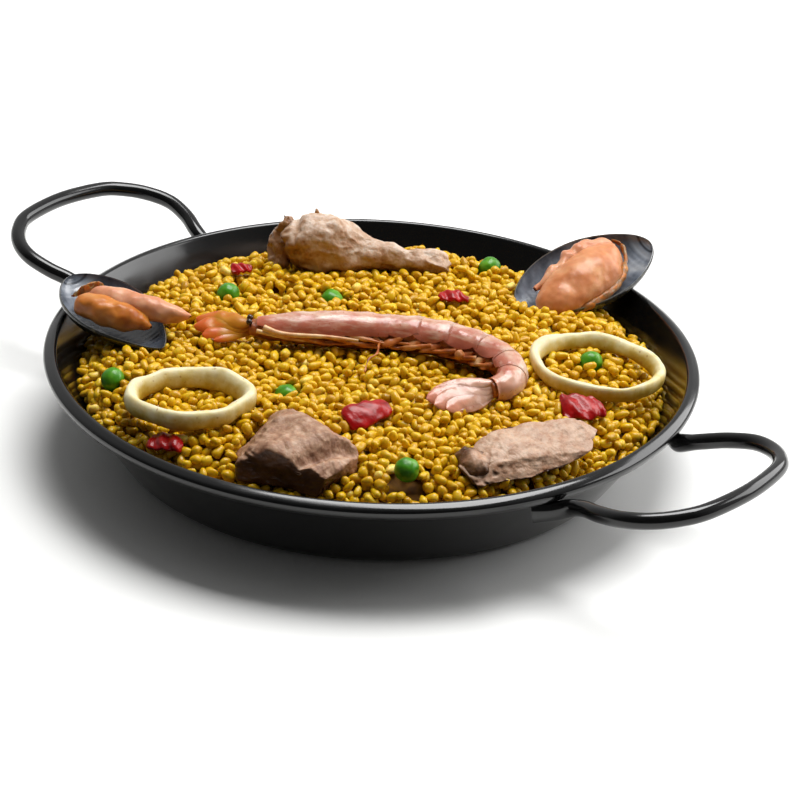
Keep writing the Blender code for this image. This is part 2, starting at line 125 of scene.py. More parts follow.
def srgb(hex_code):
    """Linear colour of an sRGB hex code, with full alpha."""
    channels = [int(hex_code[i:i + 2], 16) / 255 for i in (1, 3, 5)]
    linear = [c / 12.92 if c <= 0.04045 else ((c + 0.055) / 1.055) ** 2.4 for c in channels]
    return (*linear, 1)


def node(tree, kind, inputs=None, out=0, stops=None, **settings):
    """Add a shader node with its settings and links, and return one of its outputs.

    inputs gives each socket a value, an sRGB hex code or the output that feeds it. stops are
    a colour ramp's colours, as (share, hex code)."""
    made = tree.nodes.new("ShaderNode" + kind)
    for name, value in settings.items():
        setattr(made, name, value)
    for socket, value in (inputs or {}).items():
        if isinstance(value, bpy.types.NodeSocket):
            tree.links.new(value, made.inputs[socket])
        else:
            made.inputs[socket].default_value = srgb(value) if isinstance(value, str) else value
    if stops:
        elements = made.color_ramp.elements
        while len(elements) < len(stops):
            elements.new(0.5)
        for element, (share, colour) in zip(elements, stops):
            element.position = share
            element.color = srgb(colour)
    return made.outputs[out] if made.outputs else None


def per(size_mm):
    """Scale of a pattern whose features are size_mm across."""
    return 1 / (size_mm * MM)


def look(name):
    """An empty material, its nodes, and the places on a piece that its patterns follow."""
    material = bpy.data.materials.new(name)
    material.use_nodes = True
    tree = material.node_tree
    tree.nodes.clear()
    return material, tree, node(tree, "TexCoord", out="Object")


# ---- pieces ----

def add_piece(name, bm, material, nodes=(), sharp=None):
    """A finished mesh as a piece that rides with the pan."""
    mesh = bpy.data.meshes.new(name)
    bm.to_mesh(mesh)
    bm.free()
    mesh.shade_smooth()
    if sharp:
        mesh.set_sharp_from_angle(angle=math.radians(sharp))
    return add_mesh(name, mesh, material, nodes)


def add_mesh(name, mesh, material, nodes=()):
    mesh.materials.append(material)
    piece = bpy.data.objects.new(name, mesh)
    bpy.context.scene.collection.objects.link(piece)
    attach(piece, "root")
    if nodes:
        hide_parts(*nodes)
    return piece


def close(bm):
    """Merge what touches, drop what shrank to nothing, and face everything outwards."""
    bmesh.ops.remove_doubles(bm, verts=bm.verts, dist=0.002 * MM)
    bmesh.ops.dissolve_degenerate(bm, edges=bm.edges, dist=0.001 * MM)
    bmesh.ops.recalc_face_normals(bm, faces=bm.faces)


def bent_grid(bm, around, along, point):
    """A flat grid bent into a surface: its corner at shares u and v goes to point(u, v).

    The shares stay on the vertices, as around and along, for the material to read."""
    layers = bm.verts.layers.float
    around_layer = layers.get("around") or layers.new("around")
    along_layer = layers.get("along") or layers.new("along")
    made = bmesh.ops.create_grid(bm, x_segments=around, y_segments=along, size=0.5)
    for vert in made["verts"]:
        u, v = vert.co.x + 0.5, vert.co.y + 0.5
        vert[around_layer], vert[along_layer] = u, v
        vert.co = point(u, v)
    return made["verts"]


def curve_at(values, where):
    """A place or number on the smooth curve through evenly spaced values."""
    last = len(values) - 1
    k = min(int(where), last - 1)
    t = where - k
    before, a, b, after = (values[min(max(k + n, 0), last)] for n in (-1, 0, 1, 2))
    slope_a, slope_b = (b - before) / 2, (after - a) / 2
    return (a * (2 * t ** 3 - 3 * t ** 2 + 1) + slope_a * (t ** 3 - 2 * t ** 2 + t)
            + b * (3 * t ** 2 - 2 * t ** 3) + slope_b * (t ** 3 - t ** 2))


def smooth_path(points, steps):
    """Places along a smooth curve through the points, evenly shared out by point."""
    return [curve_at(points, i / steps * (len(points) - 1)) for i in range(steps + 1)]


def rod(bm, path, radius, sides, flat=lambda share: 1.0):
    """A closed round rod along the path; flat(share) presses its section in sideways."""
    steps = len(path) - 1

    def point(u, v):
        i = round(v * steps)
        forwards = (path[min(i + 1, steps)] - path[max(i - 1, 0)]).normalized()
        sideways = UP.cross(forwards).normalized()
        upwards = forwards.cross(sideways)
        thick = radius(v) if callable(radius) else radius
        press = flat(v)
        angle = 2 * math.pi * u
        return (path[i] + sideways * math.cos(angle) * thick * press
                + upwards * math.sin(angle) * thick * (2 - press))
    bent_grid(bm, sides, steps, point)
    bmesh.ops.remove_doubles(bm, verts=bm.verts, dist=0.002 * MM)
    bmesh.ops.holes_fill(bm, edges=[e for e in bm.edges if e.is_boundary])


# ---- pan ----

def arc(centre, radius, start, end, steps):
    angles = [start + (end - start) * i / steps for i in range(steps + 1)]
    return [(centre[0] + radius * math.cos(a), centre[1] + radius * math.sin(a)) for a in angles]


def wall_radius(height, depth=0.0):
    """Radius of the wall's inner face at a height, or of a surface depth outside that face."""
    touch_radius = RIM_RADIUS - BEAD_RADIUS - BEAD_RADIUS * math.cos(WALL_LEAN)
    touch_height = PAN_HEIGHT - BEAD_RADIUS + BEAD_RADIUS * math.sin(WALL_LEAN)
    along = touch_radius - (touch_height - height) * math.tan(WALL_LEAN)
    return along + depth / math.cos(WALL_LEAN)


def enamel():
    """Vitreous enamel fired on steel: near black and glassy, dulled a little by cooking oil."""
    material, tree, place = look("black vitreous enamel")
    film = node(tree, "TexNoise", {"Vector": place, "Scale": per(22), "Detail": 3.0})
    gloss = node(tree, "MapRange", {"Value": film, "From Min": 0.35, "From Max": 0.7,
                                    "To Min": 0.09, "To Max": 0.2})
    peel = node(tree, "TexNoise", {"Vector": place, "Scale": per(5)})
    relief = node(tree, "Bump", {"Height": peel, "Distance": 0.03 * MM, "Strength": 0.3})
    shader = node(tree, "BsdfPrincipled", {
        "Base Color": "#0A0A0A", "Roughness": gloss, "IOR": 1.55, "Normal": relief,
    })
    node(tree, "OutputMaterial", {"Surface": shader})
    return material


def rim_profile(centre, start, sweep, steps):
    """The rolled rim in section: a round roll whose outer shoulder is flattened."""
    points = []
    for i in range(steps + 1):
        angle = start - sweep * i / steps
        local = angle - RIM_FLAT_FACING
        c, s = math.cos(local), math.sin(local)
        reach = BEAD_RADIUS / (abs(c) ** RIM_SQUARE + abs(s) ** RIM_SQUARE) ** (1 / RIM_SQUARE)
        reach = BEAD_RADIUS + (reach - BEAD_RADIUS) * max(0, math.cos(local)) ** 0.25
        points.append((centre[0] + reach * math.cos(angle), centre[1] + reach * math.sin(angle)))
    return points


def make_pan(material):
    bend = math.pi / 2 - WALL_LEAN
    corner = (wall_radius(0, SHEET) - CORNER_RADIUS * math.tan(bend / 2), CORNER_RADIUS)
    flat = -math.pi / 2
    bead = (RIM_RADIUS - BEAD_RADIUS, PAN_HEIGHT - BEAD_RADIUS)
    bead_start = math.pi - WALL_LEAN
    bead_sweep = 2 * math.pi - math.acos((BEAD_RADIUS - SHEET) / BEAD_RADIUS)
    profile = [(0, SHEET)]
    profile += arc(corner, CORNER_RADIUS - SHEET, flat, -WALL_LEAN, 10)
    profile += rim_profile(bead, bead_start, bead_sweep, 40)
    profile += arc(corner, CORNER_RADIUS, -WALL_LEAN, flat, 10) + [(0, 0)]
    bm = bmesh.new()
    verts = [bm.verts.new((radius, 0, height)) for radius, height in profile]
    edges = [bm.edges.new(pair) for pair in zip(verts, verts[1:])]
    bmesh.ops.spin(
        bm, geom=verts + edges, cent=(0, 0, 0), axis=(0, 0, 1),
        angle=2 * math.pi, steps=PAN_TURNS, use_merge=True,
    )
    close(bm)
    add_piece("pan_enamel", bm, material, ["pan"], sharp=50)


def make_handle(side, facing, material):
    """A bent rod whose ends are pressed flat along the wall and welded to it."""
    end_radius = wall_radius(ROD_END_HEIGHT, SHEET + ROD_RADIUS + 0.3 * MM)
    end = Vector((
        end_radius * math.cos(ROD_END_ANGLE), end_radius * math.sin(ROD_END_ANGLE),
        ROD_END_HEIGHT,
    ))
    half = [end] + [Vector(point) * MM for point in HANDLE_HALF_PATH]
    path = half + [Vector(HANDLE_TIP) * MM] + [Vector((p.x, -p.y, p.z)) for p in reversed(half)]
    places = smooth_path(path, 160)
    length = sum((b - a).length for a, b in zip(places, places[1:]))

    def flat(share):
        from_end = min(share, 1 - share) * length
        return 1 - ROD_PRESS * max(0, 1 - from_end / ROD_FLAT) ** 0.8

    bm = bmesh.new()
    rod(bm, places, ROD_RADIUS, 28, flat)
    close(bm)
    for place in (places[6], places[-7]):
        weld = bmesh.ops.create_uvsphere(bm, u_segments=16, v_segments=10, radius=WELD_RADIUS)
        inwards = Vector((place.x, place.y, 0)).normalized() * -1.6 * MM
        bmesh.ops.translate(bm, verts=weld["verts"], vec=place + inwards)
    bmesh.ops.rotate(bm, verts=bm.verts, matrix=Matrix.Rotation(facing, 3, "Z"))
    add_piece(f"handle_{side}_rod", bm, material, [f"handle_{side}"], sharp=50)


# ---- rice ----

def ray_map(nodes, upwards):
    """Height at which a ray first meets the nodes, on the heap's map; nan where it misses."""
    cells = int(2 * MAP_REACH / MAP_STEP) + 1
    heights = np.full((cells, cells), np.nan)
    for name in nodes:
        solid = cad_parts[name].data
        tree = BVHTree.FromPolygons(
            [vert.co for vert in solid.vertices], [face.vertices for face in solid.polygons])
        low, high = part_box(name)
        first = [max(0, int((low[k] + MAP_REACH) / MAP_STEP)) for k in (0, 1)]
        last = [min(cells - 1, int((high[k] + MAP_REACH) / MAP_STEP) + 1) for k in (0, 1)]
        start = low[2] - 10 * MM if upwards else high[2] + 10 * MM
        way = UP if upwards else -UP
        for i in range(first[0], last[0] + 1):
            for j in range(first[1], last[1] + 1):
                x, y = i * MAP_STEP - MAP_REACH, j * MAP_STEP - MAP_REACH
                hit = tree.ray_cast(Vector((x, y, start)), way)[0]
                if hit is None:
                    continue
                best = min if upwards else max
                known = heights[i, j]
                heights[i, j] = hit.z if np.isnan(known) else best(known, hit.z)
    return heights


def grain_turns(rng, count):
    """Random turns for grains that mostly lie along the heap."""
    turns = []
    for _ in range(count):
        turn = Matrix.Rotation(rng.uniform(0, 2 * math.pi), 3, "Z")
        turn = turn @ Matrix.Rotation(rng.normal(0, GRAIN_TILT), 3, "Y")
        turns.append(turn @ Matrix.Rotation(rng.uniform(0, 2 * math.pi), 3, "X"))
    return turns


def footprint(turn, half_sizes):
    """Heights of a turned grain's lower and upper face over the map cells that it covers."""
    axes = np.array(turn)
    form = axes @ np.diag([1 / size ** 2 for size in half_sizes]) @ axes.T
    reach = int(max(half_sizes) / MAP_STEP) + 1
    steps = np.arange(-reach, reach + 1) * MAP_STEP
    x, y = np.meshgrid(steps, steps, indexing="ij")
    half_b = form[0, 2] * x + form[1, 2] * y
    c = form[0, 0] * x * x + 2 * form[0, 1] * x * y + form[1, 1] * y * y - 1
    inside = half_b ** 2 - form[2, 2] * c
    root = np.sqrt(np.maximum(inside, 0))
    lower = np.where(inside > 0, (-half_b - root) / form[2, 2], np.inf)
    upper = np.where(inside > 0, (-half_b + root) / form[2, 2], -np.inf)
    return reach, lower, upper


def drop_grains(outline, ground, ceiling, rng):
    """Let grains fall one by one, each where it comes to lie lowest, up to the heap's outline."""
    kinds = list(GRAIN_KINDS)
    shares = [GRAIN_KINDS[kind][1] for kind in kinds]
    models = []
    for turn in grain_turns(rng, GRAIN_MODELS):
        kind = kinds[rng.choice(len(kinds), p=shares)]
        scale = max(0.8, rng.normal(1, GRAIN_SPREAD))
        sizes = [size * MM * scale for size in GRAIN_KINDS[kind][0]]
        shape = footprint(turn, [size - GRAIN_SINK / 2 for size in sizes])
        models.append((kind, turn, sizes, shape))
    cells = outline.shape[0]
    room = outline - ground
    grains = []
    misses = 0
    while len(grains) < GRAIN_COUNT and misses < MISSES_ALLOWED:
        open_cells = np.argwhere(room > GRAIN_ROOM)
        if len(open_cells) == 0:
            break
        picks = open_cells[rng.integers(0, len(open_cells), SPOTS_A_ROUND)]
        for pick in picks:
            best = None
            for _ in range(TRIES_A_SPOT):
                kind, turn, sizes, (reach, lower, upper) = models[rng.integers(len(models))]
                i, j = pick + rng.integers(-4, 5, 2)
                if min(i, j) < reach or max(i, j) >= cells - reach:
                    continue
                patch = (slice(i - reach, i + reach + 1), slice(j - reach, j + reach + 1))
                height = np.max(ground[patch] - lower)
                top = height + upper
                if np.any(top > ceiling[patch]):
                    continue
                if height + sizes[2] > outline[i, j] + abs(rng.normal(0, GRAIN_OVERSHOOT)):
                    continue
                if best is None or height < best[0]:
                    best = (height, i, j, kind, turn, sizes, patch, top)
            if best is None:
                misses += 1
                room[tuple(pick)] -= 0.3 * MM
                continue
            height, i, j, kind, turn, sizes, patch, top = best
            ground[patch] = np.maximum(ground[patch], top)
            room[patch] = np.minimum(room[patch], outline[patch] - ground[patch])
            place = (i * MAP_STEP - MAP_REACH, j * MAP_STEP - MAP_REACH, height)
            grains.append((kind, place, turn, sizes))
    return grains


def grain_shapes(rng):
    """Blunt, slightly bent grains a unit in half length, each dented by its neighbours."""
    bm = bmesh.new()
    bmesh.ops.create_icosphere(bm, subdivisions=2, radius=1)
    mesh = bpy.data.meshes.new("grain")
    bm.to_mesh(mesh)
    bm.free()
    ball = np.empty(len(mesh.vertices) * 3)
    mesh.vertices.foreach_get("co", ball)
    ball = ball.reshape(-1, 3)
    faces = [tuple(face.vertices) for face in mesh.polygons]
    bpy.data.meshes.remove(mesh)
    shapes = []
    for number in range(GRAIN_SHAPES):
        length = ball[:, 0]
        girth = (1 - np.abs(length) ** GRAIN_ROUNDNESS) ** (1 / GRAIN_ROUNDNESS)
        girth = girth * (1 - GRAIN_TAPER * length)
        across = ball[:, 1:] / np.maximum(np.hypot(ball[:, 1], ball[:, 2]), 1e-6)[:, None]
        shape = np.column_stack((length, across * girth[:, None]))
        lumps = [noise.noise(Vector(place) * 1.5 + Vector((number * 5.1, 0, 0)))
                 for place in ball]
        shape *= 1 + GRAIN_LUMPS * np.array(lumps)[:, None]
        for _ in range(GRAIN_DENTS):
            way = rng.normal(0, 1, 3)
            way /= np.linalg.norm(way)
            press = np.maximum(shape @ way - GRAIN_DENT_REACH, 0)
            shape -= GRAIN_DENT_DEPTH * press[:, None] * way
        shape[:, 2] -= GRAIN_BEND * shape[:, 0] ** 2
        shapes.append(shape)
    return shapes, faces


def rice_material():
    """Cooked rice stained with saffron: moist and translucent, hardly two grains alike."""
    material, tree, place = look("saffron rice")
    tone = node(tree, "Attribute", attribute_name="tone", out="Fac")
    stain = node(tree, "ValToRGB", {"Fac": tone}, stops=[
        (0.0, "#B58406"), (0.3, "#CB9B06"), (0.65, "#D9AC0A"), (0.9, "#E3BC22"),
        (1.0, "#ECCF66"),
    ])
    cloud = node(tree, "TexNoise", {"Vector": place, "Scale": per(1.8), "Detail": 3.0})
    pale = node(tree, "MapRange", {"Value": cloud, "From Min": 0.5, "From Max": 0.8,
                                   "To Max": 0.45})
    colour = node(tree, "Mix", {0: pale, 6: stain, 7: "#E8C850"}, out=2, data_type="RGBA")
    dents = node(tree, "TexNoise", {"Vector": place, "Scale": per(0.9), "Detail": 2.0})
    relief = node(tree, "Bump", {"Height": dents, "Distance": 0.16 * MM, "Strength": 0.6})
    shader = node(tree, "BsdfPrincipled", {
        "Base Color": colour, "Roughness": 0.27, "IOR": 1.4, "Normal": relief,
        "Subsurface Weight": 0.35, "Subsurface Scale": 1.6 * MM,
        "Subsurface Radius": (1.0, 0.6, 0.08),
    })
    node(tree, "OutputMaterial", {"Surface": shader})
    return material


def heap_surfaces(toppings, peas):
    """Maps of the heap's outline, of what the grains land on, and of what they stay under."""
    outline = ray_map(["rice"], upwards=False)
    ceiling = ray_map(toppings, upwards=True)
    ceiling = np.where(np.isnan(ceiling), np.inf, ceiling + UNDER_TOPPINGS)
    steps = np.arange(outline.shape[0]) * MAP_STEP - MAP_REACH
    x, y = np.meshgrid(steps, steps, indexing="ij")
    radius = np.hypot(x, y)
    wall = (radius - wall_radius(0)) / math.tan(WALL_LEAN)
    lumps = np.array([
        noise.noise(Vector((u, v, 0)) / LUMP_SIZE)
        + 0.5 * noise.noise(Vector((u, v, 9)) / LUMP_SIZE * 2.2)
        for u, v in zip(x.ravel(), y.ravel())
    ]).reshape(x.shape)
    outline = outline + LUMP_HEIGHT * lumps
    for name, cover in peas.items():
        low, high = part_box(name)
        aside = np.hypot(x - (low[0] + high[0]) / 2, y - (low[1] + high[1]) / 2)
        lift = high[2] - PEA_BARE - outline
        outline = outline + np.where(
            aside < 11 * MM, np.maximum(lift, 0) * cover * np.exp(-(aside / PEA_HEAP) ** 2), 0)
    ground = np.fmax(outline - CORE_DEPTH, wall)
    ground = np.fmax(ground, ray_map(peas, upwards=False))
    outline = np.where(np.isnan(outline), -np.inf, outline)
    outline = np.where(radius < wall_radius(HEAP_EDGE), outline, -np.inf)
    ground = np.where(np.isnan(ground), np.inf, ground)
    return outline, ground, ceiling


def make_rice(rng, toppings):
    peas = {name: cover for name, cover in PEA_COVER.items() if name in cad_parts}
    others = [name for name in toppings if name not in peas]
    outline, ground, ceiling = heap_surfaces(others, peas)
    grains = drop_grains(outline, ground, ceiling, rng)

    material = rice_material()
    shapes, faces = grain_shapes(rng)
    count = len(shapes[0])
    for kind in GRAIN_KINDS:
        own = [grain for grain in grains if grain[0] == kind]
        verts = np.concatenate([
            (shapes[n % GRAIN_SHAPES] * sizes) @ np.array(turn).T + place
            for n, (_, place, turn, sizes) in enumerate(own)
        ])
        joined = [
            tuple(index + n * count for index in face) for n in range(len(own)) for face in faces
        ]
        mesh = bpy.data.meshes.new(kind)
        mesh.from_pydata(verts.tolist(), [], joined)
        tone = mesh.attributes.new("tone", "FLOAT", "POINT")
        tones = np.clip(rng.normal(0.55, 0.2, len(own)), 0, 1)
        tone.data.foreach_set("value", np.repeat(tones, count))
        mesh.shade_smooth()
        nodes = ["rice"] if kind == "rice_plump" else ()
        add_mesh(kind + "_grains", mesh, material, nodes)
    make_core(outline)


def core_shade_material():
    """Rice packed below the loose grains: matt, and dark brown as painted shade, as it only shows
    down in the gaps.
    """
    material, tree, place = look("packed rice below in painted shade")
    shade = node(tree, "TexNoise", {"Vector": place, "Scale": per(4), "Detail": 2.0})
    # dark brown: painted shade in the gaps between the grains
    colour = node(tree, "ValToRGB", {"Fac": shade}, stops=[(0.3, "#4A2A03"), (0.7, "#7A5206")])
    shader = node(tree, "BsdfPrincipled", {
        "Base Color": colour, "Roughness": 0.7, "Specular IOR Level": 0.15})
    node(tree, "OutputMaterial", {"Surface": shader})
    return material


def make_core(outline):
    """What lies under the loose grains: a lower, lumpy heap that only shows in the gaps."""
    bm = bmesh.new()
    edge = wall_radius(CORE_EDGE) - CORE_GAP

    def point(u, v):
        angle, radius = 2 * math.pi * u, v * edge
        x, y = radius * math.cos(angle), radius * math.sin(angle)
        i, j = (round((c + MAP_REACH) / MAP_STEP) for c in (x, y))
        height = outline[i, j] - CORE_DEPTH + 1.5 * MM
        height += 1.2 * MM * noise.noise(Vector((x, y, 0)) / (3.5 * MM))
        return Vector((x, y, max(min(height, CORE_TOP), CORE_EDGE) if v < 1 else CORE_EDGE))
    bent_grid(bm, 120, 60, point)
    bmesh.ops.remove_doubles(bm, verts=bm.verts, dist=0.01 * MM)
    rim = [item for item in bm.edges if item.is_boundary]
    lower = bmesh.ops.extrude_edge_only(bm, edges=rim)
    corner = [item for item in lower["geom"] if isinstance(item, bmesh.types.BMVert)]
    floor = SHEET + CORE_GAP
    shrink = (wall_radius(CORNER_RADIUS) - CORE_GAP - 6 * MM) / edge
    for vert in corner:
        vert.co = (vert.co.x * shrink, vert.co.y * shrink, floor)
    bmesh.ops.holes_fill(bm, edges=[item for item in bm.edges if item.is_boundary])
    close(bm)
    add_piece("rice_core", bm, core_shade_material())


# ---- shapes shared by the toppings ----

def posed(verts, position, turns):
    """Put a piece made flat at the origin in its place: turn, rise and roll in degrees."""
    turn, rise, roll = (math.radians(angle) for angle in turns)
    spin = Matrix.Rotation(turn, 3, "Z") @ Matrix.Rotation(-rise, 3, "Y")
    spin = spin @ Matrix.Rotation(roll, 3, "X")
    for vert in verts:
        vert.co = spin @ vert.co + Vector(position) * MM


def roughen(bm, layers):
    """Raise and sink the surface along its normals: (size in mm, depth in mm) for each layer."""
    bm.normal_update()
    steps = []
    for vert in bm.verts:
        height = sum(noise.noise(vert.co / (size * MM) + Vector((k * 7.3, 0, 0))) * depth
                     for k, (size, depth) in enumerate(layers))
        steps.append(vert.normal * height * MM)
    for vert, step in zip(bm.verts, steps):
        vert.co += step


def mix(a, b, share):
    return a + (b - a) * share


def clamp(value):
    return min(max(value, 0), 1)


def bell(offset, width):
    """One at no offset, falling smoothly to nothing over a few widths."""
    return math.exp(-(offset / width) ** 2)


def between(table, share):
    """Value at a share of the way along a table of evenly spaced values, on a smooth curve."""
    return curve_at(table, clamp(share) * (len(table) - 1))


def paint(bm, name, rule):
    """Store rule(vert) on every vertex under a name, for the material to read."""
    layers = bm.verts.layers.float
    layer = layers.get(name) or layers.new(name)
    bm.normal_update()
    for vert in bm.verts:
        vert[layer] = clamp(rule(vert))


def loft(bm, stations, sides, steps, shape=lambda angle, share: 1.0):
    """A closed fleshy form through stations of (x, y, height, half width, half height) in mm."""
    columns = list(zip(*stations))

    def middle(share):
        return Vector([between(column, share) for column in columns[:3]]) * MM

    def point(u, v):
        forwards = (middle(v + 0.01) - middle(v - 0.01)).normalized()
        side = UP.cross(forwards).normalized()
        up = forwards.cross(side)
        angle = 2 * math.pi * u
        half, tall = (max(between(column, v), 0) * MM for column in columns[3:5])
        reach = shape(angle, v)
        return middle(v) + (side * math.cos(angle) * half + up * math.sin(angle) * tall) * reach
    return bent_grid(bm, sides, steps, point)


# ---- squid ----

# Middle; outer length and width; wall; height; turn and tilt. The frame's rings, in mm.
SQUID_RINGS = {
    "squid_ring_left": ((-13.6, -81.6, 40.6), (43.5, 38.5), 5.0, 7.4, (51, 0)),
    "squid_ring_right": ((70.0, 43.5, 40.2), (48.0, 45.5), 4.4, 5.8, (25, 3)),
}


def squid_material():
    """Boiled squid: firm, cream and a little glassy; yellower and darker low down, stained by the
    rice and with painted shade, and paler on faces that look up, as painted light.
    """
    material, tree, place = look("boiled squid")
    # stain: rice stain with painted shade low down, and less of it on faces that look up, as painted
    # light
    stain = node(tree, "Attribute", attribute_name="stain", out="Fac")
    cloud = node(tree, "TexNoise", {"Vector": place, "Scale": per(4.5), "Detail": 3.0})
    uneven = node(tree, "MapRange", {"Value": cloud, "From Min": 0.3, "From Max": 0.7,
                                     "To Min": -0.25, "To Max": 0.25})
    depth = node(tree, "Math", {0: stain, 1: uneven}, operation="ADD")
    colour = node(tree, "ValToRGB", {"Fac": depth}, stops=[
        (0.0, "#E6DCB4"), (0.35, "#DCCB8E"), (0.7, "#C9AC52"), (1.0, "#B08C28")])
    fleck = node(tree, "TexNoise", {"Vector": place, "Scale": per(2.4), "Detail": 2.0})
    spots = node(tree, "MapRange", {"Value": fleck, "From Min": 0.68, "From Max": 0.74,
                                    "To Max": 0.7})
    colour = node(tree, "Mix", {0: spots, 6: colour, 7: "#A97B3A"}, out=2, data_type="RGBA")
    skin = node(tree, "TexNoise", {"Vector": place, "Scale": per(0.9), "Detail": 3.0})
    relief = node(tree, "Bump", {"Height": skin, "Distance": 0.12 * MM, "Strength": 0.5})
    shader = node(tree, "BsdfPrincipled", {
        "Base Color": colour, "Roughness": 0.38, "IOR": 1.4, "Normal": relief,
        "Subsurface Weight": 0.35, "Subsurface Scale": 2.5 * MM,
        "Subsurface Radius": (1.0, 0.8, 0.4),
    })
    node(tree, "OutputMaterial", {"Surface": shader})
    return material


def make_squid(material):
    for name, (middle, outer, wall, height, turns) in SQUID_RINGS.items():
        shift = len(name) * 3.1

        def point(u, v):
            angle, section = 2 * math.pi * v, 2 * math.pi * u
            spot = Vector((math.cos(angle) * 1.6, math.sin(angle) * 1.6, shift))
            wave, wobble = noise.noise(spot), noise.noise(spot + Vector((0, 0, 5)))
            thick = wall / 2 * (1 + 0.4 * wave)
            tall = height / 2 * (1 + 0.25 * wobble)
            c, s = math.cos(section), math.sin(section)
            out = math.copysign(abs(c) ** 0.8, c) * thick * (1 - 0.25 * s)
            rise = math.copysign(abs(s) ** 0.75, s) * tall
            flare = out + 0.18 * rise + 1.3 * wobble
            pointed = 1 + 0.045 * math.cos(2 * angle) ** 3
            along = (outer[0] / 2 - thick + flare) * math.cos(angle) * pointed
            across = (outer[1] / 2 - thick + flare) * math.sin(angle)
            return Vector((along, across, rise + 0.8 * wave)) * MM

        bm = bmesh.new()
        bent_grid(bm, 30, 170, point)
        posed(bm.verts, middle, (turns[0], -turns[1], 0))
        close(bm)
        roughen(bm, [(7, 0.3), (1.6, 0.08)])
        top = (middle[2] + height / 2) * MM
        # Yellower and darker low down, stain from the rice with painted shade; paler on faces that
        # look up, painted light.
        paint(bm, "stain", lambda vert: 0.15 + (top - vert.co.z) / (height * MM) * 0.9
              - 0.25 * max(vert.normal.z, 0))
        add_piece(name + "_flesh", bm, material, [name])


# ---- peas ----

PEA_SHRINK = 0.90                    # cooked peas shrivel a little
PEA_DROP = 1.9 * MM                  # of a fully covered pea, into the rice
# How far the rice covers each pea, from bare to buried.
PEA_COVER = {
    "pea_left": 0.45, "pea_back_left": 0.75, "pea_back": 0.8, "pea_centre": 1.15,
    "pea_front": 0.15, "pea_far": 0.85, "pea_in_ring": 0.95,
}


def pea_material():
    """Boiled pea: thin waxy skin, green, paler where the seed shows through."""
    material, tree, place = look("boiled pea skin")
    cloud = node(tree, "TexNoise", {"Vector": place, "Scale": per(3.5), "Detail": 2.0})
    colour = node(tree, "ValToRGB", {"Fac": cloud}, stops=[
        (0.3, "#35780E"), (0.5, "#478E14"), (0.72, "#6BA62A")])
    wrinkle = node(tree, "TexNoise", {"Vector": place, "Scale": per(1.2)})
    relief = node(tree, "Bump", {"Height": wrinkle, "Distance": 0.12 * MM, "Strength": 0.4})
    shader = node(tree, "BsdfPrincipled", {
        "Base Color": colour, "Roughness": 0.3, "IOR": 1.42, "Normal": relief,
        "Subsurface Weight": 0.25, "Subsurface Scale": 1.5 * MM,
        "Subsurface Radius": (0.4, 1.0, 0.15),
    })
    node(tree, "OutputMaterial", {"Surface": shader})
    return material


def make_peas(material):
    for name in PEA_COVER:
        low, high = (Vector(corner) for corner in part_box(name))
        bm = bmesh.new()
        bmesh.ops.create_uvsphere(
            bm, u_segments=40, v_segments=26, radius=(high.z - low.z) / 2 * PEA_SHRINK)
        bmesh.ops.translate(bm, verts=bm.verts, vec=(low + high) / 2
                             - UP * PEA_DROP * min(PEA_COVER[name], 1))
        roughen(bm, [(5, 0.4), (2.2, 0.22)])
        add_piece(name + "_skin", bm, material, [name])


# ---- red pepper ----

# Middle; length, width, thickness; turn, rise, roll; wrinkle depth. Sizes in mm.
PEPPERS = {
    "pepper_centre": ((37.8, -45.5, 41.4), (18.5, 10.0, 4.0), (76, 4, 24), 0.35),
    "pepper_right": ((86.5, 14.5, 40.4), (16.0, 11.5, 3.2), (52, -6, 20), 1.0),
    "pepper_left": ((-5.5, -102.0, 33.9), (14.0, 8.0, 3.2), (8, 8, 18), 0.8),
    "pepper_back": ((-3.6, 50.4, 40.8), (11.5, 6.0, 2.6), (30, 0, 12), 0.8),
    "pepper_far": ((-77.0, 10.6, 40.4), (8.0, 5.5, 2.6), (48, 0, 10), 0.8),
}


def pepper_material():
    """Roasted red pepper: soft wet flesh, deep red, with a paler red on the tops of its crests as
    painted highlight.
    """
    material, tree, place = look("roasted red pepper")
    # ridge: paler red on the tops of the crests, a painted highlight
    ridge = node(tree, "Attribute", attribute_name="ridge", out="Fac")
    cloud = node(tree, "TexNoise", {"Vector": place, "Scale": per(4), "Detail": 3.0})
    deep = node(tree, "ValToRGB", {"Fac": cloud}, stops=[
        (0.3, "#7C0303"), (0.5, "#9E0707"), (0.75, "#B61512")])
    colour = node(tree, "Mix", {0: ridge, 6: deep, 7: "#C4403A"}, out=2, data_type="RGBA")
    grain = node(tree, "TexNoise", {"Vector": place, "Scale": per(1.3), "Detail": 3.0})
    relief = node(tree, "Bump", {"Height": grain, "Distance": 0.25 * MM, "Strength": 0.6})
    shader = node(tree, "BsdfPrincipled", {
        "Base Color": colour, "Roughness": 0.26, "IOR": 1.4, "Normal": relief,
        "Subsurface Weight": 0.1, "Subsurface Scale": 1.0 * MM,
        "Subsurface Radius": (1.0, 0.15, 0.08),
    })
    node(tree, "OutputMaterial", {"Surface": shader})
    return material


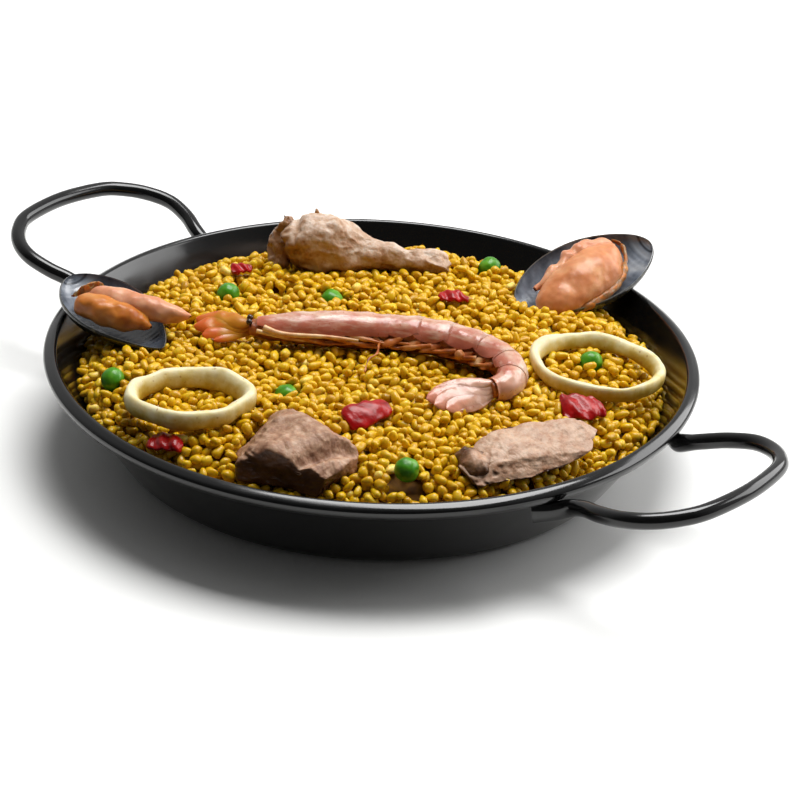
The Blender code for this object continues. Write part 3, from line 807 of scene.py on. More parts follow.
def make_peppers(material):
    for name, (middle, size, turns, wrinkle) in PEPPERS.items():
        length, width, thick = (value * MM / 2 for value in size)
        shift = Vector((0, 0, 3.7 * len(name)))

        def point(u, v):
            around, end = 2 * math.pi * u, math.pi * (v - 0.5)
            c, s = math.cos(around), math.sin(around)
            full = max(math.cos(end), 0) ** 0.4
            along = math.copysign(abs(math.sin(end)) ** 0.75, v - 0.5)
            torn = 1 + 0.3 * noise.noise(Vector((along * 2, c, 0)) + shift)
            across = math.copysign(abs(c) ** 0.6, c) * full * (1 - 0.25 * along) * torn
            rise = math.copysign(abs(s) ** 0.9, s) * full * (1 - 0.35 * abs(across))
            crease = math.sin(along * 8 + across * 3 + shift.z) * wrinkle * MM * 0.5 * full
            return Vector((along * length, across * width,
                           rise * thick - 0.25 * width * along ** 2 + crease))

        bm = bmesh.new()
        bent_grid(bm, 44, 48, point)
        close(bm)
        # Painted highlight: the tops of the crests are painted paler red.
        paint(bm, "ridge", lambda vert: (vert.co.z - 0.7 * thick) / (1.5 * MM) * wrinkle * 0.6)
        posed(bm.verts, middle, turns)
        roughen(bm, [(4, 0.6 * wrinkle), (1.8, 0.3 * wrinkle)])
        add_piece(name + "_flesh", bm, material, [name])


# ---- mussels ----

SHELL_WALL = 1.1
OUTLINE_POWER = 0.55
# Middle of the lip; length, width, depth; turn, rise, roll; how blunt the outline is.
MUSSELS = {
    "mussel_right": ((22.0, 98.2, 44.3), (62.0, 34.5, 9.6), (72, 14, 14), 1.0),
    "mussel_left": ((-80.0, -53.0, 42.0), (57.0, 30.5, 8.0), (172, 8, -3), 1.3),
}
# Lobes of meat, in the shell's own directions: (share along the shell, sideways, height above
# the lip, half width, half height), from end to end; how frilled it is; how much it glows pink.
MUSSEL_LOBES = {
    "mussel_right": [
        ([(0.08, -6.2, -1.6, 0.6, 0.6), (0.15, -6.6, -0.8, 6.4, 4.2), (0.28, -5.4, 0.2, 9.4, 6.4),
          (0.42, -4.0, 0.6, 10.6, 7.4), (0.55, -2.4, 0.6, 10.6, 7.4), (0.66, -0.4, 0.0, 9.2, 6.8),
          (0.75, 1.8, -0.8, 5.6, 4.8), (0.80, 3.0, -1.6, 0.6, 0.6)], 0.0, 0.55),
        ([(0.16, 2.6, 0.2, 0.4, 0.4), (0.28, 4.4, 1.0, 2.4, 2.6), (0.40, 5.8, 1.8, 3.0, 3.2),
          (0.52, 7.2, 2.0, 3.4, 3.4), (0.64, 8.0, 1.4, 3.6, 3.4), (0.74, 7.4, 0.2, 2.8, 2.8),
          (0.80, 6.0, -0.8, 0.4, 0.4)], 1.3, 0.85),
        ([(0.22, -14.6, -2.4, 0.4, 0.4), (0.36, -15.0, -1.4, 1.6, 1.6), (0.54, -13.4, -1.0, 2.0, 1.6),
          (0.70, -8.6, -1.2, 2.0, 1.6), (0.80, -1.4, -1.2, 1.4, 1.3), (0.84, 5.0, -1.0, 1.0, 1.0),
          (0.82, 9.6, -1.0, 0.3, 0.3)], 0.6, 0.0),
    ],
    "mussel_left": [
        ([(0.72, 8.4, 0.6, 0.5, 0.5), (0.66, 8.2, 1.2, 4.6, 4.2), (0.52, 5.6, 1.6, 6.4, 5.2),
          (0.38, 2.2, 1.9, 6.2, 4.8), (0.27, -1.4, 1.6, 3.6, 3.2), (0.21, -3.6, 1.0, 0.4, 0.4)],
         0.5, 0.1),
        ([(0.73, 3.4, 1.6, 0.5, 0.5), (0.65, 1.2, 2.2, 4.6, 4.2), (0.50, -2.6, 3.0, 5.8, 5.0),
          (0.34, -7.2, 3.6, 5.6, 4.8), (0.20, -11.6, 4.0, 4.2, 3.6),
          (0.12, -14.8, 4.4, 2.2, 1.8), (0.10, -16.4, 4.6, 0.3, 0.3)], 0.2, 0.9),
        ([(0.79, 8.6, 0.4, 0.3, 0.3), (0.77, 5.6, 1.4, 2.2, 2.0), (0.755, 2.2, 2.4, 2.8, 2.6),
          (0.75, -1.4, 2.2, 2.0, 2.0), (0.74, -4.2, 1.6, 0.3, 0.3)], 0.9, 0.0),
    ],
}


def shell_material():
    """Mussel shell: blue-grey mother of pearl inside, dark horny brown-black outside."""
    material, tree, place = look("mussel shell")
    around = node(tree, "Attribute", attribute_name="around", out="Fac")
    along = node(tree, "Attribute", attribute_name="along", out="Fac")
    shade = node(tree, "Attribute", attribute_name="shade", out="Fac")
    off_middle = node(tree, "Math", {0: around, 1: 0.5}, operation="SUBTRACT")
    lip = node(tree, "Math", {0: off_middle}, operation="ABSOLUTE")
    cloud = node(tree, "TexNoise", {"Vector": place, "Scale": per(8), "Detail": 4.0})
    lit = node(tree, "Math", {0: cloud, 1: shade}, operation="SUBTRACT")
    pearl = node(tree, "ValToRGB", {"Fac": lit}, stops=[
        (0.0, "#15171D"), (0.25, "#3E444E"), (0.5, "#767D88"), (0.75, "#B0B3B6")])
    rounds = node(tree, "Math", {0: along, 1: 0.885}, operation="SUBTRACT")
    scar = node(tree, "MapRange", {
        "Value": node(tree, "Math", {0: rounds}, operation="ABSOLUTE"),
        "From Min": 0.004, "From Max": 0.016, "To Min": 0.8, "To Max": 0})
    pearl = node(tree, "Mix", {0: scar, 6: pearl, 7: "#2C3036"}, out=2, data_type="RGBA")
    oval = node(tree, "MapRange", {
        "Value": node(tree, "Math", {0: node(tree, "Math", {0: along, 1: 0.84},
                                             operation="SUBTRACT")}, operation="ABSOLUTE"),
        "From Min": 0.01, "From Max": 0.035, "To Min": 0.6, "To Max": 0})
    pearl = node(tree, "Mix", {0: oval, 6: pearl, 7: "#A4A8AE"}, out=2, data_type="RGBA")
    fine = node(tree, "TexNoise", {"Vector": place, "Scale": per(2.6), "Detail": 4.0})
    outer = node(tree, "ValToRGB", {"Fac": fine}, stops=[
        (0.3, "#15161A"), (0.6, "#3A382F"), (0.8, "#6E6648")])
    is_outer = node(tree, "MapRange", {"Value": lip, "From Min": 0.249, "From Max": 0.258})
    colour = node(tree, "Mix", {0: is_outer, 6: pearl, 7: outer}, out=2, data_type="RGBA")
    at_edge = node(tree, "Math", {0: lip, 1: 0.2445}, operation="SUBTRACT")
    edge = node(tree, "MapRange", {
        "Value": node(tree, "Math", {0: at_edge}, operation="ABSOLUTE"),
        "From Min": 0.003, "From Max": 0.009, "To Min": 0.9, "To Max": 0})
    colour = node(tree, "Mix", {0: edge, 6: colour, 7: "#A8A69C"}, out=2, data_type="RGBA")
    rings = node(tree, "TexWave", {
        "Vector": node(tree, "CombineXYZ", {"X": along}), "Scale": 9.0, "Distortion": 1.5,
        "Detail": 3.0})
    relief = node(tree, "Bump", {"Height": rings, "Distance": 0.12 * MM, "Strength": 0.4})
    shader = node(tree, "BsdfPrincipled", {
        "Base Color": colour, "Roughness": 0.26, "IOR": 1.55, "Normal": relief,
        "Coat Weight": 0.3, "Coat Roughness": 0.15,
    })
    node(tree, "OutputMaterial", {"Surface": shader})
    return material


def mussel_meat_material():
    """Mussel meat: moist, smooth and orange, pinker on top, and brown on the fringe lobe and on every
    lobe's lower part, below the lip.
    """
    material, tree, place = look("mussel meat")
    pink = node(tree, "Attribute", attribute_name="pink", out="Fac")
    brown = node(tree, "Attribute", attribute_name="brown", out="Fac")
    patch = node(tree, "TexNoise", {"Vector": place, "Scale": per(7), "Detail": 2.5})
    warm = node(tree, "ValToRGB", {"Fac": patch}, stops=[
        (0.28, "#A8560C"), (0.48, "#C4741E"), (0.7, "#D08A3C")])
    soft = node(tree, "ValToRGB", {"Fac": patch}, stops=[
        (0.28, "#C9825A"), (0.48, "#D89674"), (0.7, "#E4AE8C")])
    colour = node(tree, "Mix", {0: pink, 6: warm, 7: soft}, out=2, data_type="RGBA")
    fringe = node(tree, "TexNoise", {"Vector": place, "Scale": per(1.8), "Detail": 4.0})
    dull = node(tree, "ValToRGB", {"Fac": fringe}, stops=[
        (0.3, "#4A3018"), (0.55, "#85603A"), (0.8, "#A89674")])
    wide = node(tree, "Math", {0: brown, 1: node(tree, "MapRange", {
        "Value": fringe, "From Min": 0.3, "From Max": 0.7, "To Min": -0.3, "To Max": 0.3})},
        operation="ADD")
    share = node(tree, "MapRange", {"Value": wide, "From Min": 0.35, "From Max": 0.75})
    colour = node(tree, "Mix", {0: share, 6: colour, 7: dull}, out=2, data_type="RGBA")
    fine = node(tree, "TexNoise", {"Vector": place, "Scale": per(1.4), "Detail": 3.0})
    relief = node(tree, "Bump", {"Height": fine, "Distance": 0.15 * MM, "Strength": 0.5})
    shader = node(tree, "BsdfPrincipled", {
        "Base Color": colour, "Roughness": 0.33, "IOR": 1.4, "Normal": relief,
        "Subsurface Weight": 0.25, "Subsurface Scale": 2.5 * MM,
        "Subsurface Radius": (1.0, 0.45, 0.2),
    })
    node(tree, "OutputMaterial", {"Surface": shader})
    return material


def make_shell(name, material):
    middle, (length, width, depth), turns, blunt = MUSSELS[name]

    def shell_point(u, v):
        share = 0.5 - 0.5 * math.cos(math.pi * v)
        half = width / 2 * max(math.sin(math.pi * share ** blunt), 0) ** OUTLINE_POWER
        hollow = half / (width / 2)
        wave = 0.25 * noise.noise(Vector((share * 5, u * 3, len(name))))
        if 0.25 <= u <= 0.75:
            angle, wall = (u - 0.25) * 2 * math.pi, 0.0
        else:
            angle = ((0.25 - u) % 1) * 2 * math.pi
            wall = SHELL_WALL * (0.3 + 0.7 * math.sqrt(abs(math.sin(angle)))) * min(1, hollow * 3)
        across = math.cos(angle) * (half + wall)
        down = abs(math.sin(angle)) * (depth * hollow + wall)
        return Vector(((share - 0.5) * (length + wall), across + wave * hollow, -down)) * MM

    bm = bmesh.new()
    bent_grid(bm, 72, 90, shell_point)
    dark_end = 0.30 if name == "mussel_left" else 0.05
    paint(bm, "shade", lambda vert: dark_end * clamp(0.7 - vert.co.x / (length * MM))
          + 0.10 * bell(vert.co.z / MM + depth, 3))
    posed(bm.verts, middle, turns)
    close(bm)
    add_piece(name + "_valve", bm, material, [name], sharp=60)


def make_mussel_meat(name, material):
    middle, (length, _, _), turns, _ = MUSSELS[name]
    for number, (stations, frill, glow) in enumerate(MUSSEL_LOBES[name]):
        columns = list(zip(*stations))

        def lobe_point(u, v):
            share, side, rise, half, tall = (between(column, v) for column in columns)
            angle = 2 * math.pi * u
            ruffle = 1 + 0.13 * frill * math.sin(v * 30 + number * 2) * math.cos(angle)
            return Vector((
                (share - 0.5) * length, side + max(half, 0) * math.cos(angle) * ruffle,
                rise + max(tall, 0) * math.sin(angle) * ruffle)) * MM
        bm = bmesh.new()
        bent_grid(bm, 72, 90, lobe_point)
        fringe = number == 2
        paint(bm, "pink", lambda vert: glow + 0.15 * noise.noise(vert.co / (6 * MM)))
        # brown: the whole fringe lobe, and every lobe below the lip, more the lower it lies
        paint(bm, "brown", lambda vert: (0.62 if fringe else 0.0)
              + 0.7 * clamp((-vert.co.z / MM - 1.5) / 2.5))
        posed(bm.verts, middle, turns)
        close(bm)
        roughen(bm, [(9, 1.0), (3.6, 0.35 + 0.5 * frill), (1.8, 0.12)])
        taken = [name + "_meat"] if number == 0 else []
        add_piece(f"{name}_meat_lobe_{number + 1}", bm, material, taken)


def make_mussels():
    shell_look, meat_look = shell_material(), mussel_meat_material()
    for name in MUSSELS:
        make_shell(name, shell_look)
        make_mussel_meat(name, meat_look)


# ---- prawn ----

PRAWN_SPINE = [                      # from the eyes to the tail's root, in mm
    (-34.0, -30.0, 43.4), (-26.0, -23.4, 43.8), (-16.0, -14.8, 44.0), (-6.0, -6.0, 44.0),
    (3.0, 1.6, 43.8), (12.0, 7.6, 43.8), (21.5, 12.4, 43.8), (31.0, 15.4, 43.6),
    (40.5, 16.6, 43.4), (49.5, 15.0, 43.2), (56.5, 10.2, 43.0), (59.8, 3.4, 42.8),
    (58.0, -3.0, 42.6),
]
PRAWN_HALF_WIDTH = [3.8, 5.6, 6.5, 6.8, 6.6, 7.0, 7.0, 6.8, 6.5, 6.1, 5.6, 4.9, 3.8]
PRAWN_HALF_HEIGHT = [3.6, 5.2, 6.4, 6.9, 6.7, 6.9, 6.9, 6.7, 6.5, 6.1, 5.6, 4.8, 3.4]
# Plates: shares of the spine where each begins and ends, and how far down the belly side.
PRAWN_PLATES = [
    (0.030, 0.352, 164), (0.335, 0.445, 156), (0.425, 0.540, 160), (0.520, 0.655, 156),
    (0.635, 0.765, 152), (0.745, 0.860, 150), (0.840, 0.985, 150),
]
PRAWN_PATH = smooth_path([Vector(point) * MM for point in PRAWN_SPINE], 240)
# Blades of the tail fan: tip, half width, rise of the root; from the inner to the outer.
TAIL_BLADES = [
    ((44.6, -19.5, 43.2), 3.2, 2.2), ((45.6, -24.0, 41.8), 4.8, 1.2),
    ((49.6, -24.4, 41.0), 4.8, 0.4), ((53.6, -22.4, 40.2), 4.4, -0.6),
    ((56.8, -18.0, 39.2), 3.0, -1.6),
]
# Scales in front of the head: tip, half width, rise of the root.
HEAD_SCALES = [
    ((-54.6, -37.0, 42.4), 4.4, 1.8), ((-52.0, -41.0, 41.8), 4.4, 0.2),
    ((-46.0, -43.0, 40.8), 3.6, -1.4), ((-41.0, -42.0, 40.0), 2.2, -2.4),
]


def prawn_frame(share):
    """Place, backwards and upwards directions, and half sizes at a share of the spine."""
    share = clamp(share)
    steps = len(PRAWN_PATH) - 1
    where = share * steps
    k = min(int(where), steps - 1)
    place = PRAWN_PATH[k].lerp(PRAWN_PATH[k + 1], where - k)
    forwards = (PRAWN_PATH[min(k + 3, steps)] - PRAWN_PATH[max(k - 2, 0)]).normalized()
    back = UP.cross(forwards).normalized()
    return (place, back, forwards.cross(back),
            between(PRAWN_HALF_WIDTH, share) * MM, between(PRAWN_HALF_HEIGHT, share) * MM)


def on_prawn(share, degrees, lift=0.0):
    """A place on the body: 0 degrees is the back, 90 the flank on top, 180 the belly."""
    place, back, up, half_width, half_height = prawn_frame(share)
    angle = math.radians(degrees)
    return (place + back * math.cos(angle) * (half_width + lift)
            + up * math.sin(angle) * (half_height + lift))


def prawn_shell_material():
    """Boiled prawn shell: thin, glossy, pale pink over white flesh, flushed red and flecked."""
    material, tree, place = look("boiled prawn shell")
    flank = node(tree, "Attribute", attribute_name="flank", out="Fac")
    flush = node(tree, "Attribute", attribute_name="flush", out="Fac")
    cloud = node(tree, "TexNoise", {"Vector": place, "Scale": per(7), "Detail": 4.0})
    pale = node(tree, "ValToRGB", {"Fac": cloud}, stops=[
        (0.3, "#C98468"), (0.45, "#D8A48C"), (0.6, "#E2BAA4"), (0.78, "#EACBB8")])
    streaks = node(tree, "TexNoise", {
        "Vector": node(tree, "Mapping", {"Vector": place, "Scale": (0.35, 0.35, 1.6)}),
        "Scale": per(2.4), "Detail": 3.0})
    edge = node(tree, "Math", {0: flank, 1: streaks}, operation="ADD")
    low = node(tree, "MapRange", {"Value": edge, "From Min": 1.14, "From Max": 1.42,
                                  "To Max": 0.9})
    colour = node(tree, "Mix", {0: low, 6: pale, 7: "#B8604A"}, out=2, data_type="RGBA")
    patchy = node(tree, "Math", {0: flush, 1: cloud}, operation="ADD")
    red = node(tree, "MapRange", {"Value": patchy, "From Min": 0.75, "From Max": 1.35,
                                  "To Max": 0.85})
    colour = node(tree, "Mix", {0: red, 6: colour, 7: "#C8643F"}, out=2, data_type="RGBA")
    fleck = node(tree, "TexNoise", {"Vector": place, "Scale": per(1.3), "Detail": 2.0})
    flecks = node(tree, "MapRange", {"Value": fleck, "From Min": 0.67, "From Max": 0.72,
                                     "To Max": 0.75})
    colour = node(tree, "Mix", {0: flecks, 6: colour, 7: "#B0562E"}, out=2, data_type="RGBA")
    grain = node(tree, "TexNoise", {"Vector": place, "Scale": per(1.1), "Detail": 3.0})
    relief = node(tree, "Bump", {"Height": grain, "Distance": 0.14 * MM, "Strength": 0.5})
    shader = node(tree, "BsdfPrincipled", {
        "Base Color": colour, "Roughness": 0.26, "IOR": 1.48, "Normal": relief,
        "Subsurface Weight": 0.3, "Subsurface Scale": 2.5 * MM,
        "Subsurface Radius": (1.0, 0.5, 0.4), "Coat Weight": 0.25, "Coat Roughness": 0.18,
    })
    node(tree, "OutputMaterial", {"Surface": shader})
    return material


def prawn_under_material():
    """Belly, legs and swimmerets: wet, brown-pink where thin and orange where the roe shows."""
    material, tree, place = look("prawn legs and belly")
    tone = node(tree, "Attribute", attribute_name="tone", out="Fac")
    cloud = node(tree, "TexNoise", {"Vector": place, "Scale": per(4), "Detail": 3.0})
    varied = node(tree, "Math", {0: node(tree, "Math", {0: cloud, 1: 0.9}, operation="MULTIPLY"),
                                 1: tone}, operation="ADD")
    colour = node(tree, "ValToRGB", {"Fac": varied}, stops=[
        (0.25, "#6E3216"), (0.45, "#9A5228"), (0.62, "#BE6E34"), (0.8, "#D29A6A"),
        (1.0, "#E4C08E")])
    grain = node(tree, "TexNoise", {"Vector": place, "Scale": per(0.8), "Detail": 3.0})
    relief = node(tree, "Bump", {"Height": grain, "Distance": 0.15 * MM, "Strength": 0.5})
    shader = node(tree, "BsdfPrincipled", {
        "Base Color": colour, "Roughness": 0.3, "IOR": 1.42, "Normal": relief,
        "Subsurface Weight": 0.2, "Subsurface Scale": 1.2 * MM,
        "Subsurface Radius": (1.0, 0.4, 0.2),
    })
    node(tree, "OutputMaterial", {"Surface": shader})
    return material


def scale_material():
    """Head scales: thin horn, orange along the ridge and yellow towards the rice."""
    material, tree, place = look("prawn head scale")
    along = node(tree, "Attribute", attribute_name="along", out="Fac")
    cloud = node(tree, "TexNoise", {
        "Vector": node(tree, "Mapping", {"Vector": place, "Scale": (0.4, 0.4, 1.0)}),
        "Scale": per(2), "Detail": 3.0})
    varied = node(tree, "Math", {0: along, 1: cloud}, operation="ADD")
    colour = node(tree, "ValToRGB", {"Fac": node(tree, "Math", {0: varied, 1: 0.55},
                                                 operation="MULTIPLY")}, stops=[
        (0.2, "#9C6038"), (0.35, "#B87414"), (0.55, "#C27A0A"), (0.75, "#CC5A14"),
        (0.9, "#D0642C")])
    relief = node(tree, "Bump", {"Height": cloud, "Distance": 0.25 * MM, "Strength": 0.6})
    shader = node(tree, "BsdfPrincipled", {
        "Base Color": colour, "Roughness": 0.3, "IOR": 1.5, "Normal": relief,
        "Subsurface Weight": 0.25, "Subsurface Scale": 1.5 * MM,
        "Subsurface Radius": (1.0, 0.4, 0.1),
    })
    node(tree, "OutputMaterial", {"Surface": shader})
    return material


def eye_material():
    """Boiled prawn's eye: clouded dark brown."""
    material, tree, place = look("prawn eye")
    cloud = node(tree, "TexNoise", {"Vector": place, "Scale": per(1.5)})
    colour = node(tree, "ValToRGB", {"Fac": cloud}, stops=[(0.3, "#1E120C"), (0.7, "#4A2E1E")])
    shader = node(tree, "BsdfPrincipled", {"Base Color": colour, "Roughness": 0.2})
    node(tree, "OutputMaterial", {"Surface": shader})
    return material


def blade(bm, root, tip, half_width, thick, lean, arch=0.0):
    """A thin leaf from root to tip, widest past the middle, keeled, and closed all round."""
    way = tip - root
    level = UP.cross(way).normalized()
    side = level * math.cos(lean) + UP * math.sin(lean)
    up = way.normalized().cross(side)

    def point(u, v):
        half = half_width * max(math.sin(math.pi * v ** 1.25), 0) ** 0.55 * min(1, v * 5 + 0.4)
        angle = 2 * math.pi * u
        camber = -0.16 * half * math.cos(angle) ** 2
        return (root + way * v + side * half * math.cos(angle)
                + up * (thick * math.sin(angle) * (1.1 - v * 0.6) + camber)
                + UP * arch * math.sin(math.pi * v))
    return bent_grid(bm, 26, 34, point)


def limb(bm, points, start, end, steps=26):
    """A thin tapering leg through the points; radii in mm."""
    rod(bm, smooth_path(points, steps), lambda v: mix(start, end, v) * MM, 8)


def make_prawn_body(material):
    bm = bmesh.new()
    bent_grid(bm, 40, 180, lambda u, v: on_prawn(v, 360 * u, -0.8 * MM))
    bmesh.ops.holes_fill(bm, edges=[e for e in bm.edges if e.is_boundary])
    close(bm)
    roughen(bm, [(6, 0.6), (2.2, 0.35)])
    paint(bm, "tone", lambda vert: 0.05)
    add_piece("prawn_body", bm, material, ["prawn"])


def make_prawn_plates(material):
    bm = bmesh.new()
    for number, (start, end, reach) in enumerate(PRAWN_PLATES):
        def plate_point(u, v):
            share = mix(start, end, v)
            lobe = 18 * (math.sin(math.pi * min(v * 1.15, 1)) ** 0.7 - 0.6)
            if number == 0:
                lobe = 6 * math.sin(math.pi * v) - 26 * bell(v, 0.12)
            degrees = mix(-70, reach + lobe, u)
            flare = (0.3 + 0.3 * v) * MM - 0.2 * MM * bell(v - 0.93, 0.05)
            return on_prawn(share, degrees, flare)
        bent_grid(bm, 44, 26, plate_point)
    bmesh.ops.recalc_face_normals(bm, faces=bm.faces)
    roughen(bm, [(5, 0.4), (1.8, 0.1)])
    around = bm.verts.layers.float["around"]
    paint(bm, "flank", lambda vert: vert[around])
    head_end, tail_end = PRAWN_PATH[0], PRAWN_PATH[-1]
    paint(bm, "flush", lambda vert: 0.75 * bell((vert.co - head_end).length, 14 * MM)
          + 0.55 * bell((vert.co - tail_end).length, 16 * MM))
    bmesh.ops.solidify(bm, geom=bm.faces[:], thickness=0.35 * MM)
    bmesh.ops.recalc_face_normals(bm, faces=bm.faces)
    add_piece("prawn_plates", bm, material, sharp=55)


def make_prawn_legs(material):
    bm = bmesh.new()
    for n in range(9):                   # walking legs folded back under the head
        share = 0.07 + 0.03 * n
        root = on_prawn(share, 172, -0.6 * MM)
        knee = on_prawn(share + 0.06, 178 + 7 * (n % 3), 1.2 * MM)
        foot = on_prawn(share + 0.13, 190 + 8 * (n % 2), 0.8 * MM)
        limb(bm, [root, knee, foot], 1.0, 0.35)
    for n in range(7):                   # swimmerets along the belly
        share = 0.40 + 0.062 * n
        root = on_prawn(share, 164, -1.0 * MM)
        tip = on_prawn(share - 0.065, 186 + 5 * (n % 2), 1.6 * MM)
        blade(bm, root, tip, 2.0 * MM, 0.8 * MM, -0.5, 0.5 * MM)
    for n in range(4):                   # stiff bases of the swimmerets
        share = 0.46 + 0.09 * n
        limb(bm, [on_prawn(share - 0.10, 200, 0.2 * MM), on_prawn(share - 0.04, 184, 1.4 * MM),
                  on_prawn(share + 0.03, 172, 0.6 * MM)], 0.5, 1.0)
    place = on_prawn(0.335, 182, 0.3 * MM)
    limb(bm, [on_prawn(0.42, 178, 0.6 * MM), place, Vector((12.2, -12.0, 43.6)) * MM,
              Vector((12.6, -17.0, 43.0)) * MM, Vector((15.6, -22.4, 41.0)) * MM], 0.6, 0.22)
    close(bm)
    roughen(bm, [(2.5, 0.3)])
    paint(bm, "tone", lambda vert: 0.16 + 0.22 * noise.noise(vert.co / (7 * MM)))
    add_piece("prawn_legs", bm, material)

    bm = bmesh.new()                     # two pale legs folded along the head's lower edge
    limb(bm, [on_prawn(0.05, 150, 0.4 * MM), on_prawn(0.10, 170, 1.2 * MM),
              on_prawn(0.20, 172, 1.4 * MM), on_prawn(0.27, 180, 0.8 * MM)], 1.25, 0.5)
    limb(bm, [on_prawn(0.03, 165, 0.5 * MM), on_prawn(0.12, 184, 1.2 * MM),
              on_prawn(0.22, 192, 0.6 * MM)], 0.9, 0.4)
    close(bm)
    paint(bm, "tone", lambda vert: 0.42)
    add_piece("prawn_pale_legs", bm, material)

    bm = bmesh.new()                     # a crumb of roe held by the swimmerets
    bmesh.ops.create_uvsphere(bm, u_segments=24, v_segments=16, radius=1.9 * MM)
    bmesh.ops.translate(bm, verts=bm.verts, vec=on_prawn(0.60, 176, 1.6 * MM))
    roughen(bm, [(2, 0.8)])
    paint(bm, "tone", lambda vert: 0.22)
    add_piece("prawn_roe", bm, material)


def make_prawn_head(scale_look):
    bm = bmesh.new()
    head, back, up = prawn_frame(0.02)[:3]
    for tip, half_width, rise in HEAD_SCALES:
        root = head + up * rise * MM - back * rise * 0.4 * MM
        blade(bm, root, Vector(tip) * MM, half_width * MM, 0.7 * MM, -0.5, 0.8 * MM)
    close(bm)
    roughen(bm, [(4, 0.5)])
    add_piece("prawn_scales", bm, scale_look)

    bm = bmesh.new()
    for degrees, out in ((118, 0.2), (60, 0.2)):
        made = bmesh.ops.create_uvsphere(bm, u_segments=24, v_segments=16, radius=1.2 * MM)
        bmesh.ops.translate(bm, verts=made["verts"], vec=on_prawn(0.0, degrees, out * MM))
    add_piece("prawn_eyes", bm, eye_material())


def make_prawn_tail(material):
    bm = bmesh.new()
    root = prawn_frame(0.96)[0]
    for tip, half_width, rise in TAIL_BLADES:
        blade(bm, root + UP * rise * MM, Vector(tip) * MM, half_width * MM, 0.6 * MM, -0.62,
              0.5 * MM)
    close(bm)
    roughen(bm, [(4, 0.4), (1.5, 0.12)])
    around = bm.verts.layers.float["around"]
    paint(bm, "flank", lambda vert: 0.9 - 1.1 * abs(math.sin(2 * math.pi * vert[around])))
    paint(bm, "flush", lambda vert: 0.25 + 0.5 * (root - vert.co).length / (30 * MM))
    add_piece("prawn_tail_fan", bm, material)


def make_prawn():
    shell, under = prawn_shell_material(), prawn_under_material()
    make_prawn_body(under)
    make_prawn_plates(shell)
    make_prawn_legs(under)
    make_prawn_head(scale_material())
    make_prawn_tail(shell)


# ---- meat ----

SCULPT_FACES = 25000                 # enough for edges of about a millimetre
SCULPT_ROUNDS = 5


def sculpt_copy(name):
    """The frame's solid with its corners merged, cut fine and softened."""
    bm = bmesh.new()
    bm.from_mesh(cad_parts[name].data)
    bmesh.ops.remove_doubles(bm, verts=bm.verts, dist=0.01 * MM)
    bmesh.ops.triangulate(bm, faces=bm.faces)
    while len(bm.faces) < SCULPT_FACES:
        bmesh.ops.subdivide_edges(bm, edges=bm.edges, cuts=1, use_grid_fill=True)
    for _ in range(SCULPT_ROUNDS):
        bmesh.ops.smooth_vert(
            bm, verts=bm.verts, factor=0.5, use_axis_x=True, use_axis_y=True, use_axis_z=True)
    bmesh.ops.recalc_face_normals(bm, faces=bm.faces)
    return bm


def fibres(bm, way, size, depth, stretch=6):
    """Fine ridges that run along a direction, as meat fibres do."""
    way = Vector(way).normalized()
    bm.normal_update()
    steps = []
    for vert in bm.verts:
        place = vert.co - way * vert.co.dot(way) * (1 - 1 / stretch)
        ridge = 1 - abs(noise.noise(place / (size * MM))) * 2.5
        steps.append(vert.normal * ridge * depth * MM)
    for vert, step in zip(bm.verts, steps):
        vert.co += step


def meat_material(name, flesh, glaze_and_painted_shade, roughness):
    """Cooked meat: dry fibrous flesh, paler where pale says, darker and wet where
    glaze_and_painted_shade says.
    """
    material, tree, place = look(name)
    # Darkens towards the glazed colour: the meat's own on some pieces, painted shade where a piece
    # darkens its sides turned from the lamps.
    shade_and_glaze_mask = node(tree, "Attribute", attribute_name="glaze_and_painted_shade", out="Fac")
    # pale: paler flesh, painted light where a piece pales its faces that look up.
    pale = node(tree, "Attribute", attribute_name="pale", out="Fac")
    cloud = node(tree, "TexNoise", {"Vector": place, "Scale": per(3.2), "Detail": 5.0,
                                    "Roughness": 0.6})
    lifted = node(tree, "Math", {0: cloud, 1: node(tree, "MapRange", {
        "Value": pale, "To Min": -0.14, "To Max": 0.14})}, operation="ADD")
    colour = node(tree, "ValToRGB", {"Fac": lifted}, stops=flesh)
    wide = node(tree, "TexNoise", {"Vector": place, "Scale": per(6), "Detail": 3.0})
    dark = node(tree, "ValToRGB", {"Fac": wide}, stops=glaze_and_painted_shade)
    uneven = node(tree, "Math", {0: shade_and_glaze_mask, 1: node(tree, "MapRange", {
        "Value": cloud, "From Min": 0.3, "From Max": 0.7, "To Min": -0.25, "To Max": 0.25})},
        operation="ADD")
    share = node(tree, "MapRange", {"Value": uneven, "From Min": 0.2, "From Max": 0.75})
    colour = node(tree, "Mix", {0: share, 6: colour, 7: dark}, out=2, data_type="RGBA")
    gloss = node(tree, "MapRange", {"Value": share, "To Min": roughness, "To Max": 0.27})
    fine = node(tree, "TexNoise", {"Vector": place, "Scale": per(0.9), "Detail": 4.0})
    relief = node(tree, "Bump", {"Height": fine, "Distance": 0.4 * MM, "Strength": 0.6})
    shader = node(tree, "BsdfPrincipled", {
        "Base Color": colour, "Roughness": gloss, "IOR": 1.42, "Normal": relief,
        "Subsurface Weight": 0.12, "Subsurface Scale": 1.2 * MM,
        "Subsurface Radius": (1.0, 0.5, 0.3),
    })
    node(tree, "OutputMaterial", {"Surface": shader})
    return material


PORK_GROOVE = ((47.0, -90.6, 0.0), (52.6, -69.6, 0.0))
PORK_LOBE = Vector((26.0, -78.0, 45.0)) * MM
PORK_GRAIN = (0.9, -0.35, 0.1)       # the way its fibres run


